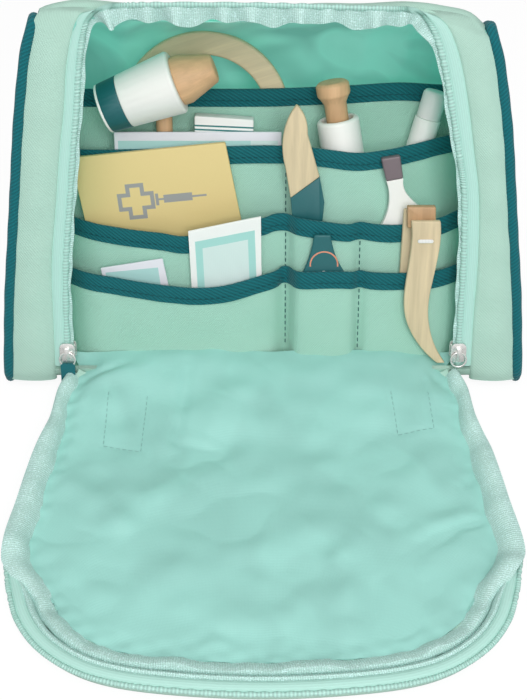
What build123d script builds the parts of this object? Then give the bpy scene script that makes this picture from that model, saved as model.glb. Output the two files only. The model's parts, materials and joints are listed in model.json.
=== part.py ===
"""Toy vet bag with a zip-round front flap, stepped pocket organiser and wooden toy tools.

Millimetres. +Z is up, the flap opens towards -Y, and the origin is the middle of the base on the floor.
The opening lies in one plane that leans back. Most inner pieces are placed on that plane by three
numbers: x across the bag, h up along the lean from the flap's hinge, and depth behind the plane.
"""
import os
from math import atan, cos, degrees, radians, sin, tan

from build123d import *

os.makedirs("parts", exist_ok=True)

# Overall bag
bag_depth = 130.0
base_half_width = 126.0
side_slope = 0.13
front_lean = 20.0
hinge_height = 11.0
ridge_height = 181.0
top_fall = 30.0
back_top_y = 108.0
fabric = 2.4
lining = 0.6
layer_gap = 0.1
bottom_radius = 6.5
hinge_radius = 10.0
ridge_radius = 5.0
back_top_radius = 24.0
front_seam_z = 7.5
back_seam_z = 128.0
base_board_margin = 6.0

# Piping
piping_radius = 2.5
piping_inset = 1.2

# Zip round the opening
opening_foot = 102.5
opening_knee = (101.5, 52.0)
opening_head = (82.5, 175.0)
opening_corner = 25.0
knee_radius = 150.0
tape_width = 4.8
tape_thickness = 0.9
coil_radius = 1.4
coil_sides = 6
coil_depth = 1.1
zip_foot = 2.0

# Seam allowance hanging inside the top of the opening
allowance_drop = 11.0
allowance_from = 125.0
allowance_thickness = 0.9

# Flap
flap_clearance = 0.4
flap_floor = 2.0
flap_skin = 2.0
flap_lining_skin = 0.6
flap_rise = 15.0
flap_notch = (91.0, 14.0)
flap_outline = [(103.5, 16.0), (117.5, 102.0), (101.0, 160.0), (58.0, 176.5)]
flap_radii = [70.0, 28.0, 60.0]
flap_wall_inset = 4.0
flap_wall = 2.0
flap_binding_skin = 1.1

# Handles
webbing_width = 25.0
webbing = 1.6
handle_half_span = 67.0
handle_sewn = (8.0, 57.0)
handle_straight = 30.0
handle_gap = 0.3

# Zip sliders and pullers
slider_length = 10.0
slider_width = 7.6
slider_plate = 1.2
slider_start = 2.0
slider_room = 0.4
bridge_width = 1.4
bail_wire = 0.6
bail_width = 2.0
bail_span = 4.4
bail_room = 1.5
puller_ring = 4.2
puller_wire = 0.9
tab_size = (7.0, 12.0, 1.4)
tab_overlap = 2.2
tab_corner = 1.2

# Organiser: plan line of each tier as x and depth, and its top edge as x and h
tier_skin = 1.2
binding_width = 8.5
binding_proud = 0.6
binding_back = 0.3
stitch_left = 11.0
stitch_right = 47.0
plan_end = 124.0
plan_radius = 5.0
backing_depth = 54.0
backing_height = 118.0
tier_plan = {
    1: [(-plan_end, 50), (-98, 46), (98, 46), (plan_end, 50)],
    2: [(-plan_end, 44), (-90, 33), (-50, 30), (-4, 29.5), (stitch_left, 27), (30, 21.5), (46, 21),
        (62, 22.5), (90, 33), (plan_end, 43)],
    3: [(-plan_end, 38), (-90, 22.5), (-50, 16.5), (0, 17), (stitch_left, 18.7), (17, 13), (42, 12),
        (stitch_right, 14.5), (53, 13.5), (84, 14.5), (plan_end, 36)],
    4: [(-plan_end, 34), (-90, 13), (-50, 8), (2, 10.4), (stitch_left, 16), (17, 6.5), (42, 6),
        (stitch_right, 10), (53, 7.5), (84, 7.5), (plan_end, 30)],
}
tier_top = {
    1: [(-plan_end, 128), (-40, 128), (40, 129.5), (plan_end, 130)],
    2: [(-plan_end, 104), (-40, 103), (stitch_left, 105), (46, 103), (75, 106.5), (plan_end, 110)],
    3: [(-plan_end, 73), (-80, 67.5), (-36, 63), (stitch_left, 74), (39, 70.5), (stitch_right, 71),
        (66, 69.7), (plan_end, 77)],
    4: [(-plan_end, 49), (-80, 45), (-34, 39), (stitch_left, 48), (37, 48.6), (stitch_right, 47.7),
        (69, 47.2), (plan_end, 51)],
}

# Frames of reference
hinge = Vector(0, -bag_depth / 2, hinge_height)
lean_dir = Vector(0, sin(radians(front_lean)), cos(radians(front_lean)))
out_dir = Vector(0, -cos(radians(front_lean)), sin(radians(front_lean)))
front_plane = Plane(origin=hinge, x_dir=(1, 0, 0), z_dir=out_dir)


def at_depth(depth):
    """Plane parallel to the opening and this far behind it, with local x across and y up the lean."""
    return front_plane.offset(-depth)


def plan_at(h):
    """Plane square to the lean at height h, with local x across and y as depth behind the opening."""
    return Plane(origin=hinge + lean_dir * h, x_dir=(1, 0, 0), z_dir=lean_dir)


def tilted_frame(x, h, depth, angle):
    """Plane on the lean with z outwards, and local y turned by this angle from straight up towards -x."""
    across = Vector(cos(radians(angle)), 0, 0) + lean_dir * sin(radians(angle))
    return Plane(at_depth(depth).from_local_coords(Vector(x, h, 0)), across, out_dir)


def corner(face, point, radius):
    """Round the corner of a sketch that lies nearest to a local point."""
    fillet(face.vertices().sort_by_distance(Vector(*point))[0], radius=radius)


# Side profile of the bag, in Y and Z
ridge_y = (ridge_height - hinge_height) * tan(radians(front_lean))
back_top_z = ridge_height - (back_top_y - ridge_y) * tan(radians(top_fall))
sole_z = piping_radius
profile_points = {
    "front_foot": (-bag_depth / 2, sole_z),
    "hinge": (-bag_depth / 2, hinge_height),
    "ridge": (ridge_y - bag_depth / 2, ridge_height),
    "back_top": (back_top_y - bag_depth / 2, back_top_z),
    "back_foot": (bag_depth / 2, sole_z),
}
back_lean = degrees(atan((bag_depth - back_top_y) / (back_top_z - sole_z)))
front_foot_wall = hinge_height - sole_z - hinge_radius * tan(radians(front_lean / 2))
front_foot_radius = min(bottom_radius, front_foot_wall - 0.1)


def bag_profile(inset):
    """Closed side profile of the bag, this far inside its outer skin."""
    with BuildSketch(Plane.YZ) as profile:
        with BuildLine():
            Polyline(*profile_points.values(), close=True)
        make_face()
        corner(profile, profile_points["front_foot"], front_foot_radius)
        corner(profile, profile_points["back_foot"], bottom_radius)
        corner(profile, profile_points["hinge"], hinge_radius)
        corner(profile, profile_points["ridge"], ridge_radius)
        corner(profile, profile_points["back_top"], back_top_radius)
        if inset:
            offset(amount=-inset)
    return profile.sketch


def side_plane(side, inset):
    """Leaning plane of a side panel, this far inside its outer face, with its normal outwards."""
    lean = atan(side_slope)
    normal = Vector(side * cos(lean), 0, sin(lean))
    return Plane(origin=Vector(side * base_half_width, 0, 0) - normal * inset, z_dir=normal)


def bag_block(inset, side_inset):
    """Solid of the bag's inside at an inset, between its two leaning sides."""
    with BuildPart() as block:
        extrude(bag_profile(inset), amount=base_half_width + 10, both=True)
        for side in (-1, 1):
            split(bisect_by=side_plane(side, side_inset), keep=Keep.BOTTOM)
    return block.part


def arch(inset, foot):
    """Outline of the opening as an open line from the left foot over the head to the right foot."""
    return FilletPolyline(
        (-opening_foot + inset, foot),
        (-opening_knee[0] + inset, opening_knee[1]),
        (-opening_head[0] + inset, opening_head[1] - inset),
        (opening_head[0] - inset, opening_head[1] - inset),
        (opening_knee[0] - inset, opening_knee[1]),
        (opening_foot - inset, foot),
        radius=[knee_radius, opening_corner - inset, opening_corner - inset, knee_radius],
    )


def arch_face(inset, foot):
    """Closed face of the opening, this far inside its seam."""
    with BuildSketch() as face:
        with BuildLine():
            line = arch(inset, foot)
            Line(line @ 0, line @ 1)
        make_face()
    return face.sketch


def opening_cut(inset, depth_from, depth_to, foot=0.0):
    """Prism of the opening between two depths."""
    with BuildPart() as cut:
        with BuildSketch(at_depth(depth_to)):
            add(arch_face(inset, foot))
        extrude(amount=depth_to - depth_from)
    return cut.part


def finish(builder, name):
    """Label a piece and write it."""
    builder.part.label = name
    export_step(builder.part, f"parts/{name}.step")


# Piping along both side seams
piping = {}
for side, side_name in ((-1, "left"), (1, "right")):
    with BuildPart() as seam:
        extrude(bag_profile(0), amount=base_half_width + 10, both=True)
        split(bisect_by=side_plane(side, piping_inset), keep=Keep.BOTTOM)
    seam_wire = seam.faces().sort_by(Axis.X)[0 if side < 0 else -1].outer_wire()
    with BuildPart() as piping_part:
        with BuildSketch(Plane(origin=seam_wire @ 0, z_dir=seam_wire % 0)):
            Circle(piping_radius)
        sweep(path=seam_wire)
    finish(piping_part, f"piping_{side_name}")
    piping[side] = piping_part.part

# Side panels between the piping
for side, side_name in ((-1, "left"), (1, "right")):
    with BuildPart() as side_panel:
        extrude(bag_profile(0), amount=base_half_width + 10, both=True)
        split(bisect_by=side_plane(side, 0), keep=Keep.BOTTOM)
        split(bisect_by=side_plane(side, fabric), keep=Keep.TOP)
        add(piping[side], mode=Mode.SUBTRACT)
    finish(side_panel, f"side_panel_{side_name}")

# Gusset of four panels, cut from one ring at the seams
seams = {
    "front": (-bag_depth / 2, front_seam_z),
    "ridge": profile_points["ridge"],
    "back_top": (bag_depth / 2 - (back_seam_z - sole_z) * tan(radians(back_lean)), back_seam_z),
    "back": (bag_depth / 2, front_seam_z),
}
hub = (0, ridge_height / 2)


def far(point):
    """The point pushed well past the skin, away from the middle of the profile."""
    return (hub[0] + 3 * (point[0] - hub[0]), hub[1] + 3 * (point[1] - hub[1]))


gusset_ring = bag_block(0, fabric) - bag_block(fabric, -5)


def gusset_panel(start, end):
    """The ring between two seams, grooved for the piping."""
    with BuildPart() as panel:
        with BuildSketch(Plane.YZ):
            with BuildLine():
                Polyline(hub, far(seams[start]), far(seams[end]), close=True)
            make_face()
        extrude(amount=base_half_width + 10, both=True)
        add(gusset_ring, mode=Mode.INTERSECT)
        for side in (-1, 1):
            add(piping[side], mode=Mode.SUBTRACT)
    return panel.part


with BuildPart() as front_frame:
    add(gusset_panel("front", "ridge"))
    add(opening_cut(0, -5, fabric + 5), mode=Mode.SUBTRACT)
finish(front_frame, "front_frame")

with BuildPart() as top_panel:
    add(gusset_panel("ridge", "back_top"))
finish(top_panel, "top_panel")

with BuildPart() as back_panel:
    add(gusset_panel("back_top", "back"))
finish(back_panel, "back_panel")

# The base sags flat between the two pipings, on its stiffener
with BuildPart() as base_panel:
    with BuildSketch():
        RectangleRounded(
            2 * (base_half_width - 2 * piping_radius - base_board_margin),
            bag_depth - 2 * bottom_radius - 2,
            bottom_radius,
        )
    extrude(amount=sole_z + fabric)
    add(gusset_panel("back", "front"))
finish(base_panel, "base_panel")

# Lining: a thin bag inside the bag, open at the front
with BuildPart() as interior_lining:
    add(bag_block(fabric + layer_gap, fabric + layer_gap))
    add(bag_block(fabric + layer_gap + lining, fabric + layer_gap + lining), mode=Mode.SUBTRACT)
    add(opening_cut(0, -5, fabric + 5), mode=Mode.SUBTRACT)
finish(interior_lining, "interior_lining")

cavity = bag_block(fabric + lining + 1.5 * layer_gap, fabric + lining + 1.5 * layer_gap)

# Zip tape and coil round the opening
with BuildPart() as zip_tape:
    with BuildSketch(at_depth(layer_gap + tape_thickness)):
        add(arch_face(layer_gap, zip_foot))
        add(arch_face(tape_width, zip_foot), mode=Mode.SUBTRACT)
    extrude(amount=tape_thickness)
finish(zip_tape, "zip_tape")

coil_inset = tape_width + coil_radius + layer_gap
with BuildPart() as zip_coil:
    with BuildLine(at_depth(coil_depth)) as coil_line:
        arch(coil_inset, zip_foot)
    with BuildSketch(Plane(origin=coil_line.line @ 0, z_dir=coil_line.line % 0)):
        RegularPolygon(coil_radius, coil_sides)
    sweep(path=coil_line.line)
finish(zip_coil, "zip_coil")

# Bound seam allowance that hangs inside the top of the opening
with BuildPart() as seam_allowance:
    with BuildSketch(at_depth(fabric + allowance_thickness + 2 * layer_gap)):
        add(arch_face(3 * layer_gap, 0))
        add(arch_face(allowance_drop, 0), mode=Mode.SUBTRACT)
        with Locations((0, 0)):
            Rectangle(3 * opening_foot, 2 * allowance_from, mode=Mode.SUBTRACT)
    extrude(amount=allowance_thickness)
finish(seam_allowance, "seam_allowance")

# Organiser backing
with BuildPart() as organiser_backing:
    with BuildSketch(at_depth(backing_depth + tier_skin)):
        with Locations((0, backing_height / 2)):
            Rectangle(2 * plan_end, backing_height)
    extrude(amount=tier_skin)
    add(cavity, mode=Mode.INTERSECT)
finish(organiser_backing, "organiser_backing")


def plan_strip(tier, front, back):
    """Extruded plan line of a tier, from front to back of its own face line."""
    points = tier_plan[tier]
    radii = [plan_radius if abs(p[0]) > stitch_right + 10 else plan_radius / 2.5 for p in points[1:-1]]
    with BuildPart() as strip:
        with BuildSketch(plan_at(-hinge_height)):
            with BuildLine():
                face_line = FilletPolyline(*[(x, d + front) for x, d in points], radius=radii)
                back_line = FilletPolyline(*[(x, d + back) for x, d in points], radius=radii)
                Line(face_line @ 0, back_line @ 0)
                Line(face_line @ 1, back_line @ 1)
            make_face()
        extrude(amount=ridge_height)
    return strip.part


def top_zone(tier, drop, height):
    """Everything below a tier's top edge less a drop, down to a height below that."""
    points = tier_top[tier]
    with BuildPart() as zone:
        with BuildSketch(at_depth(backing_depth + 20)):
            with BuildLine():
                top = Spline(*[(x, h - drop) for x, h in points])
                Polyline(top @ 1, (plan_end, points[-1][1] - height), (-plan_end, points[0][1] - height), top @ 0)
            make_face()
        extrude(amount=backing_depth + 40)
    return zone.part


# Pocket tiers and the woven binding folded over each top edge
for tier in tier_plan:
    with BuildPart() as pocket:
        add(plan_strip(tier, 0, tier_skin))
        add(top_zone(tier, binding_proud, ridge_height), mode=Mode.INTERSECT)
        add(cavity, mode=Mode.INTERSECT)
    finish(pocket, f"pocket_tier_{tier}")
    with BuildPart() as binding_low:
        add(plan_strip(tier, -binding_proud, tier_skin + binding_back))
        add(top_zone(tier, binding_width, ridge_height), mode=Mode.INTERSECT)
    with BuildPart() as binding:
        add(plan_strip(tier, -binding_proud, tier_skin + binding_back))
        add(top_zone(tier, 0, ridge_height), mode=Mode.INTERSECT)
        add(cavity, mode=Mode.INTERSECT)
        add(binding_low.part, mode=Mode.SUBTRACT)
        add(pocket.part, mode=Mode.SUBTRACT)
    finish(binding, f"pocket_binding_{tier}")

# Flap, lying open on the floor in front of the hinge
flap_origin = Plane(origin=(0, -bag_depth / 2, 0), x_dir=(-1, 0, 0), z_dir=(0, 0, 1))
flap_rim_top = hinge_height - flap_clearance


def flap_line(inset):
    """Outline of the flap as an open line round its far end, with local y away from the hinge."""
    left = [(-x + inset, y - (inset if y > 170 else 0)) for x, y in flap_outline]
    right = [(x - inset, y - (inset if y > 170 else 0)) for x, y in reversed(flap_outline)]
    radii = [max(r - inset, 5.0) for r in flap_radii]
    return FilletPolyline(*left, *right, radius=radii + radii[::-1])


def flap_ring(inset, width, z_low, z_high):
    """A band round the flap between two insets and two heights, open at the hinge."""
    with BuildPart() as ring:
        with BuildSketch(flap_origin.offset(z_low)):
            with BuildLine():
                outer = flap_line(inset)
                inner = flap_line(inset + width)
                Line(outer @ 0, inner @ 0)
                Line(outer @ 1, inner @ 1)
            make_face()
        extrude(amount=z_high - z_low)
    return ring.part


def flap_sheet(inset, lift, skin):
    """Floor of the flap, which rises to the hinge in one soft curve."""
    hinge_y = -bag_depth / 2 - flap_clearance
    low = flap_floor + lift
    high = flap_rim_top - flap_skin - flap_lining_skin + lift
    end = hinge_y - 2 * bag_depth
    with BuildPart() as sheet:
        with BuildSketch(Plane.YZ):
            with BuildLine():
                under = FilletPolyline(
                    (hinge_y, high), (hinge_y - flap_rise, low), (end, low), radius=flap_rise
                )
                over = FilletPolyline(
                    (hinge_y, high + skin), (hinge_y - flap_rise, low + skin), (end, low + skin), radius=flap_rise
                )
                Line(under @ 0, over @ 0)
                Line(under @ 1, over @ 1)
            make_face()
        extrude(amount=base_half_width, both=True)
        with BuildSketch(flap_origin):
            with BuildLine():
                line = flap_line(inset)
                Polyline(
                    line @ 1, (flap_notch[0], flap_notch[1]), (flap_notch[0], 0),
                    (-flap_notch[0], 0), (-flap_notch[0], flap_notch[1]), line @ 0,
                )
            make_face()
        extrude(amount=2 * hinge_height, mode=Mode.INTERSECT)
    return sheet.part


wall_low = flap_floor + flap_skin
tape_low = flap_rim_top - tape_thickness
with BuildPart() as flap_panel:
    add(flap_sheet(flap_wall_inset, 0, flap_skin))
    add(flap_ring(flap_wall_inset, flap_wall, flap_floor, tape_low))
finish(flap_panel, "flap_panel")

binding_inset = flap_wall_inset + flap_wall + layer_gap
with BuildPart() as flap_lining:
    add(flap_sheet(binding_inset + flap_binding_skin + layer_gap, flap_skin, flap_lining_skin))
finish(flap_lining, "flap_lining")

with BuildPart() as flap_binding:
    add(flap_ring(binding_inset, flap_binding_skin, wall_low + layer_gap, tape_low - layer_gap))
    add(flap_panel.part, mode=Mode.SUBTRACT)
finish(flap_binding, "flap_binding")

tape_inset = 2 * coil_radius + layer_gap
with BuildPart() as flap_zip_tape:
    add(flap_ring(tape_inset, tape_width, tape_low, flap_rim_top))
finish(flap_zip_tape, "flap_zip_tape")

with BuildPart() as flap_zip_coil:
    with BuildLine(flap_origin.offset(flap_rim_top - coil_radius)) as flap_coil_line:
        flap_line(coil_radius)
    with BuildSketch(Plane(origin=flap_coil_line.line @ 0, z_dir=flap_coil_line.line % 0)):
        RegularPolygon(coil_radius, coil_sides)
    sweep(path=flap_coil_line.line)
finish(flap_zip_coil, "flap_zip_coil")


# Carry handles: two sewn ends and a free loop, one under the flap and one on the back
def handle_ends(plane):
    """Two patches of webbing that are sewn down."""
    with BuildPart() as ends:
        with BuildSketch(plane):
            with Locations(
                (-handle_half_span, sum(handle_sewn) / 2), (handle_half_span, sum(handle_sewn) / 2)
            ):
                Rectangle(webbing_width, handle_sewn[1] - handle_sewn[0])
        extrude(amount=webbing)
    return ends.part


def handle_loop(plane):
    """The free loop, which starts at the end of the sewn patches."""
    start = handle_sewn[1] + handle_gap
    shoulder = start + handle_straight
    outer = handle_half_span + webbing_width / 2
    inner = handle_half_span - webbing_width / 2
    with BuildPart() as loop:
        with BuildSketch(plane):
            with BuildLine():
                for reach in (outer, inner):
                    Line((-reach, start), (-reach, shoulder))
                    ThreePointArc((-reach, shoulder), (0, shoulder + reach), (reach, shoulder))
                    Line((reach, shoulder), (reach, start))
                for side in (-1, 1):
                    Line((side * inner, start), (side * outer, start))
            make_face()
        extrude(amount=webbing)
        fillet(loop.edges().filter_by(Axis(plane.origin, plane.z_dir)).group_by(SortBy.LENGTH)[0], 0.4)
    return loop.part


front_handle_plane = flap_origin.offset(flap_floor - webbing)
with BuildPart() as front_handle_ends:
    add(handle_ends(front_handle_plane))
finish(front_handle_ends, "front_handle_ends")

with BuildPart() as front_handle:
    add(handle_loop(flap_origin.offset(flap_floor - webbing - handle_gap)))
finish(front_handle, "front_handle")

back_up = Vector(0, -sin(radians(back_lean)), cos(radians(back_lean)))
back_out = Vector(0, cos(radians(back_lean)), sin(radians(back_lean)))
back_plane = Plane(origin=(0, bag_depth / 2, sole_z), x_dir=(-1, 0, 0), z_dir=back_out)
with BuildPart() as back_handle_ends:
    add(handle_ends(back_plane))
finish(back_handle_ends, "back_handle_ends")

with BuildPart() as back_handle:
    add(handle_loop(back_plane.offset(handle_gap)))
finish(back_handle, "back_handle")

# Zip sliders: two plates round the coil, joined by a bridge beside it, with a bail on the front plate
slider_run = Vector(opening_knee[0] - opening_foot, opening_knee[1] - zip_foot)
slider_middle = slider_start + slider_length / 2
front_plate_low = coil_radius + slider_room - coil_depth
front_plate_top = front_plate_low + slider_plate
back_plate_low = -coil_radius - slider_room - coil_depth - slider_plate
ring_low = front_plate_top + bail_wire / 2
ring_middle = slider_middle - puller_ring + puller_wire
for side, side_name in ((-1, "left"), (1, "right")):
    tilt = degrees(atan(-side * slider_run.X / slider_run.Y))
    slider_frame = tilted_frame(side * (opening_foot - coil_inset), zip_foot, 0, tilt)
    bridge_x = -side * (coil_radius + slider_room + bridge_width / 2)
    with BuildPart() as slider:
        for low in (front_plate_low, back_plate_low):
            with BuildSketch(slider_frame.offset(low)):
                with Locations((0, slider_middle)):
                    RectangleRounded(slider_width, slider_length, slider_width / 3)
            extrude(amount=slider_plate)
        with BuildSketch(slider_frame.offset(back_plate_low + slider_plate / 2)):
            with Locations((bridge_x, slider_middle)):
                Rectangle(bridge_width, slider_length / 2)
        extrude(amount=front_plate_low - back_plate_low)
        with BuildSketch(slider_frame.offset(front_plate_low + slider_plate / 2)):
            with GridLocations(0, bail_span, 1, 2):
                with Locations((0, slider_middle)):
                    Rectangle(bail_width, 2 * bail_wire)
        extrude(amount=slider_plate / 2 + bail_room)
        with BuildSketch(slider_frame.offset(front_plate_top + bail_room)):
            with Locations((0, slider_middle)):
                Rectangle(bail_width, bail_span + 2 * bail_wire)
        extrude(amount=bail_wire)
    finish(slider, f"slider_{side_name}")
    with BuildPart() as puller:
        with BuildSketch(slider_frame.offset(ring_low)):
            with Locations((0, ring_middle)):
                Circle(puller_ring)
                Circle(puller_ring - puller_wire, mode=Mode.SUBTRACT)
        extrude(amount=puller_wire)
    finish(puller, f"puller_{side_name}")
    if side < 0:
        with BuildPart() as pull_tab:
            with BuildSketch(slider_frame.offset(ring_low - (tab_size[2] - puller_wire) / 2)):
                with Locations((0, ring_middle - puller_ring - tab_size[1] / 2 + tab_overlap)):
                    RectangleRounded(tab_size[0], tab_size[1], tab_corner)
            extrude(amount=tab_size[2])
            add(puller.part, mode=Mode.SUBTRACT)
        finish(pull_tab, "pull_tab")


# Contents of the pockets, each placed on the leaning plane
def slab(name, outline, depth, thick, edge=0.4):
    """A flat piece from an outline of x and h, its front face at a depth."""
    with BuildPart() as piece:
        with BuildSketch(at_depth(depth + thick)):
            with BuildLine():
                Polyline(*outline, close=True)
            make_face()
        extrude(amount=thick)
        fillet(piece.edges().filter_by(Axis((0, 0, 0), out_dir)), edge)
    finish(piece, name)
    return piece.part


# Wooden ring behind the first tier
ring_centre = (-28.5, 113.0)
ring_radius = 42.0
ring_bore = 30.8
ring_thick = 5.4
ring_depth = 47.9
ring_edge = 0.8
with BuildPart() as wooden_ring:
    with BuildSketch(at_depth(ring_depth + ring_thick)):
        with Locations(ring_centre):
            Circle(ring_radius)
            Circle(ring_bore, mode=Mode.SUBTRACT)
    extrude(amount=ring_thick)
    chamfer(wooden_ring.edges().filter_by(GeomType.CIRCLE), ring_edge)
finish(wooden_ring, "wooden_ring")

# Otoscope: turned head, collar and rim at the wide end, nozzle, and a handle down into the pocket
oto_depth = 29.8
oto_centre = (-53.0, 130.5)
oto_angle = 20.0
head_length = 27.0
head_radii = (12.6, 15.0)
collar_length = 9.5
rim_length = 1.2
nozzle_length = 19.0
nozzle_radii = (11.5, 6.8)
oto_frame = tilted_frame(*oto_centre, oto_depth, oto_angle - 90)


def turned(name, frame, outline, bore=None):
    """A piece turned about the frame's local y axis, from radius and height pairs."""
    with BuildPart() as piece:
        with BuildSketch(frame):
            with BuildLine():
                Polyline(*outline, close=True)
            make_face()
        revolve(axis=Axis(frame.origin, frame.y_dir))
        if bore:
            add(bore, mode=Mode.SUBTRACT)
    finish(piece, name)
    return piece.part


half_head = head_length / 2
head_slope = (head_radii[1] - head_radii[0]) / head_length
collar_end = -half_head - collar_length
collar_radius = head_radii[0] - head_slope * collar_length
otoscope_head = turned("otoscope_head", oto_frame, [
    (0, -half_head), (head_radii[0], -half_head), (head_radii[1], half_head - 1), (head_radii[1] - 1, half_head),
    (0, half_head),
])
turned("otoscope_collar", oto_frame, [
    (0, collar_end), (collar_radius, collar_end), (head_radii[0], -half_head), (0, -half_head),
])
turned("otoscope_rim", oto_frame, [
    (0, collar_end - rim_length), (collar_radius, collar_end - rim_length), (collar_radius, collar_end),
    (0, collar_end),
])
turned("otoscope_nozzle", oto_frame, [
    (0, half_head), (nozzle_radii[0], half_head), (nozzle_radii[0], half_head + 4),
    (nozzle_radii[1], half_head + nozzle_length - 1), (nozzle_radii[1] - 1, half_head + nozzle_length),
    (0, half_head + nozzle_length),
])
oto_handle_radius = 4.0
oto_handle_depth = 40.6
oto_handle_foot = 62.0
with BuildPart() as otoscope_handle:
    with BuildSketch(plan_at(oto_handle_foot)):
        with Locations((oto_centre[0] + 5, oto_handle_depth)):
            Circle(oto_handle_radius)
    extrude(amount=oto_centre[1] - oto_handle_foot)
    add(otoscope_head, mode=Mode.SUBTRACT)
finish(otoscope_handle, "otoscope_handle")

# Flat goods, each with the depth of its front face and its thickness
box_outline = [(-33.5, 80), (-5, 80), (-4.5, 115.5), (-33, 117.5)]
box_depth = 35.3
box_thick = 7.8
slab("plaster_box", box_outline, box_depth, box_thick, 0.8)

mint_card_outline = [(-72, 50), (9, 50), (9, 110), (-72, 110)]
mint_card_depth = 33.7
mint_card_thick = 1.3
slab("mint_card", mint_card_outline, mint_card_depth, mint_card_thick, 0.6)

booklet_outline = [(-84, 47), (-8, 54), (-18, 107), (-92.5, 99.5)]
booklet_depth = 25.4
booklet_thick = 2.8
slab("ochre_booklet", booklet_outline, booklet_depth, booklet_thick, 0.8)

cloth_outline = [(-34.5, 18), (-0.5, 23), (-1.0, 73.5), (-36, 66)]
cloth_depth = 12.3
cloth_thick = 2.9
slab("folded_cloth", cloth_outline, cloth_depth, cloth_thick, 0.8)

small_card_outline = [(-75, 14), (-43, 18), (-49, 52.5), (-79.5, 47.5)]
small_card_depth = 13.9
small_card_thick = 1.1
slab("small_card", small_card_outline, small_card_depth, small_card_thick, 0.5)

# Scalpel: a wooden blade and a handle
scalpel_depth = 17.3
scalpel_thick = 3.6
with BuildPart() as scalpel_blade:
    with BuildSketch(at_depth(scalpel_depth + scalpel_thick)):
        with BuildLine():
            Spline((15.7, 127), (11.2, 119), (9.2, 108), (10.6, 97))
            Line((10.6, 97), (13.2, 82))
            Line((13.2, 82), (27.0, 92.5))
            Line((27.0, 92.5), (21.0, 113))
            Spline((21.0, 113), (19.3, 122), (15.7, 127))
        make_face()
    extrude(amount=scalpel_thick)
finish(scalpel_blade, "scalpel_blade")
slab("scalpel_handle", [(13.2, 82), (15.5, 60), (28.0, 60), (29.5, 80), (27.0, 92.5)], scalpel_depth,
     scalpel_thick, 0.3)

# Syringe: open barrel with a plunger that slides in it
syringe_depth = 34.8
syringe_tilt = 10.0
barrel_radius = 10.3
barrel_bore = 7.6
barrel_length = 44.0
plunger_out = 10.5
piston_gap = 0.3
syringe_frame = tilted_frame(35.8, 116.5, syringe_depth, syringe_tilt)
turned("syringe_barrel", syringe_frame, [
    (0, -barrel_length), (barrel_radius - 1, -barrel_length), (barrel_radius, -barrel_length + 1),
    (barrel_radius, -1), (barrel_radius - 1, 0), (barrel_bore, 0), (barrel_bore, -barrel_length + 6),
    (0, -barrel_length + 6),
])
stem = 5.4
knob = 8.0
turned("syringe_plunger", syringe_frame, [
    (0, -24), (barrel_bore - piston_gap, -24), (barrel_bore - piston_gap, -18), (stem, -16), (stem, plunger_out - 3),
    (knob - 1, plunger_out), (knob, plunger_out + 1.2), (knob, plunger_out + 6), (knob - 1.4, plunger_out + 7.4),
    (0, plunger_out + 7.4),
])

# White tube with a cap
tube_frame = tilted_frame(77.0, 104.0, 38.7, -14.0)
tube_radius = 6.4
cap_joint = 12.0
turned("tube_body", tube_frame, [
    (0, -46), (tube_radius - 1, -46), (tube_radius, -45), (tube_radius, cap_joint), (0, cap_joint),
])
turned("tube_cap", tube_frame, [
    (0, cap_joint), (tube_radius - 0.5, cap_joint), (tube_radius - 0.5, 24), (tube_radius - 1.5, 25.5), (0, 25.5),
])

# Thermometer with a coloured tip
thermo_depth = 16.5
thermo_thick = 4.3
tip_top = [(55.8, 101.5), (64.8, 103)]
tip_foot = [(58.7, 90.5), (66.8, 92)]
slab("thermometer_tip", [tip_foot[0], tip_foot[1], tip_top[1], tip_top[0]], thermo_depth, thermo_thick, 1.0)
with BuildPart() as thermometer_body:
    with BuildSketch(at_depth(thermo_depth + thermo_thick)):
        with BuildLine():
            Line(tip_foot[0], tip_foot[1])
            Spline(tip_foot[1], (69.5, 83.5), (78, 75), (81, 68))
            Polyline((81, 68), (81, 44), (57, 44), (57, 68))
            Spline((57, 68), (60, 76), (60.5, 83), tip_foot[0])
        make_face()
    extrude(amount=thermo_thick)
finish(thermometer_body, "thermometer_body")

# Flat paddle in the middle pocket of the fourth tier
with BuildPart() as paddle:
    with BuildSketch(at_depth(8.3 + 2.7)):
        with BuildLine():
            Line((24.5, 66.5), (32.5, 66.5))
            Spline((32.5, 66.5), (35, 56), (40.5, 46))
            Polyline((40.5, 46), (40.5, 24), (18.8, 24), (18.8, 46))
            Spline((18.8, 46), (22.5, 56), (24.5, 66.5))
        make_face()
    extrude(amount=2.7)
finish(paddle, "paddle")

# Tweezers astride the fourth tier: a curved front leg outside it and a rear leg inside
leg_front_depth = 2.2
leg_thick = 3.0
leg_rear_depth = 9.5
with BuildPart() as tweezers_front_leg:
    with BuildSketch(at_depth(leg_front_depth + leg_thick)):
        with BuildLine():
            Line((69.8, 75.5), (83.6, 75.5))
            Spline((83.6, 75.5), (82.5, 50), (80.5, 30), (83, 16), (90.5, 1.5))
            Line((90.5, 1.5), (86.5, 1.5))
            Spline((86.5, 1.5), (76.5, 12), (69.6, 26), (69.4, 50), (69.8, 75.5))
        make_face()
    extrude(amount=leg_thick)
finish(tweezers_front_leg, "tweezers_front_leg")
slab("tweezers_rear_leg", [(66.2, 24), (77.5, 24), (80.5, 79), (67.0, 79)], leg_rear_depth, leg_thick, 0.8)
slab("tweezers_spacer", [(68.5, 71), (82.0, 71), (81.5, 81.5), (68.0, 81.5)],
     leg_front_depth + leg_thick, leg_rear_depth - leg_front_depth - leg_thick, 0.8)
with BuildPart() as tweezers_elastic:
    with BuildSketch(at_depth(leg_front_depth)):
        with Locations((77.0, 65.8)):
            SlotOverall(7.5, 1.8)
    extrude(amount=0.9)
finish(tweezers_elastic, "tweezers_elastic")
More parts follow.
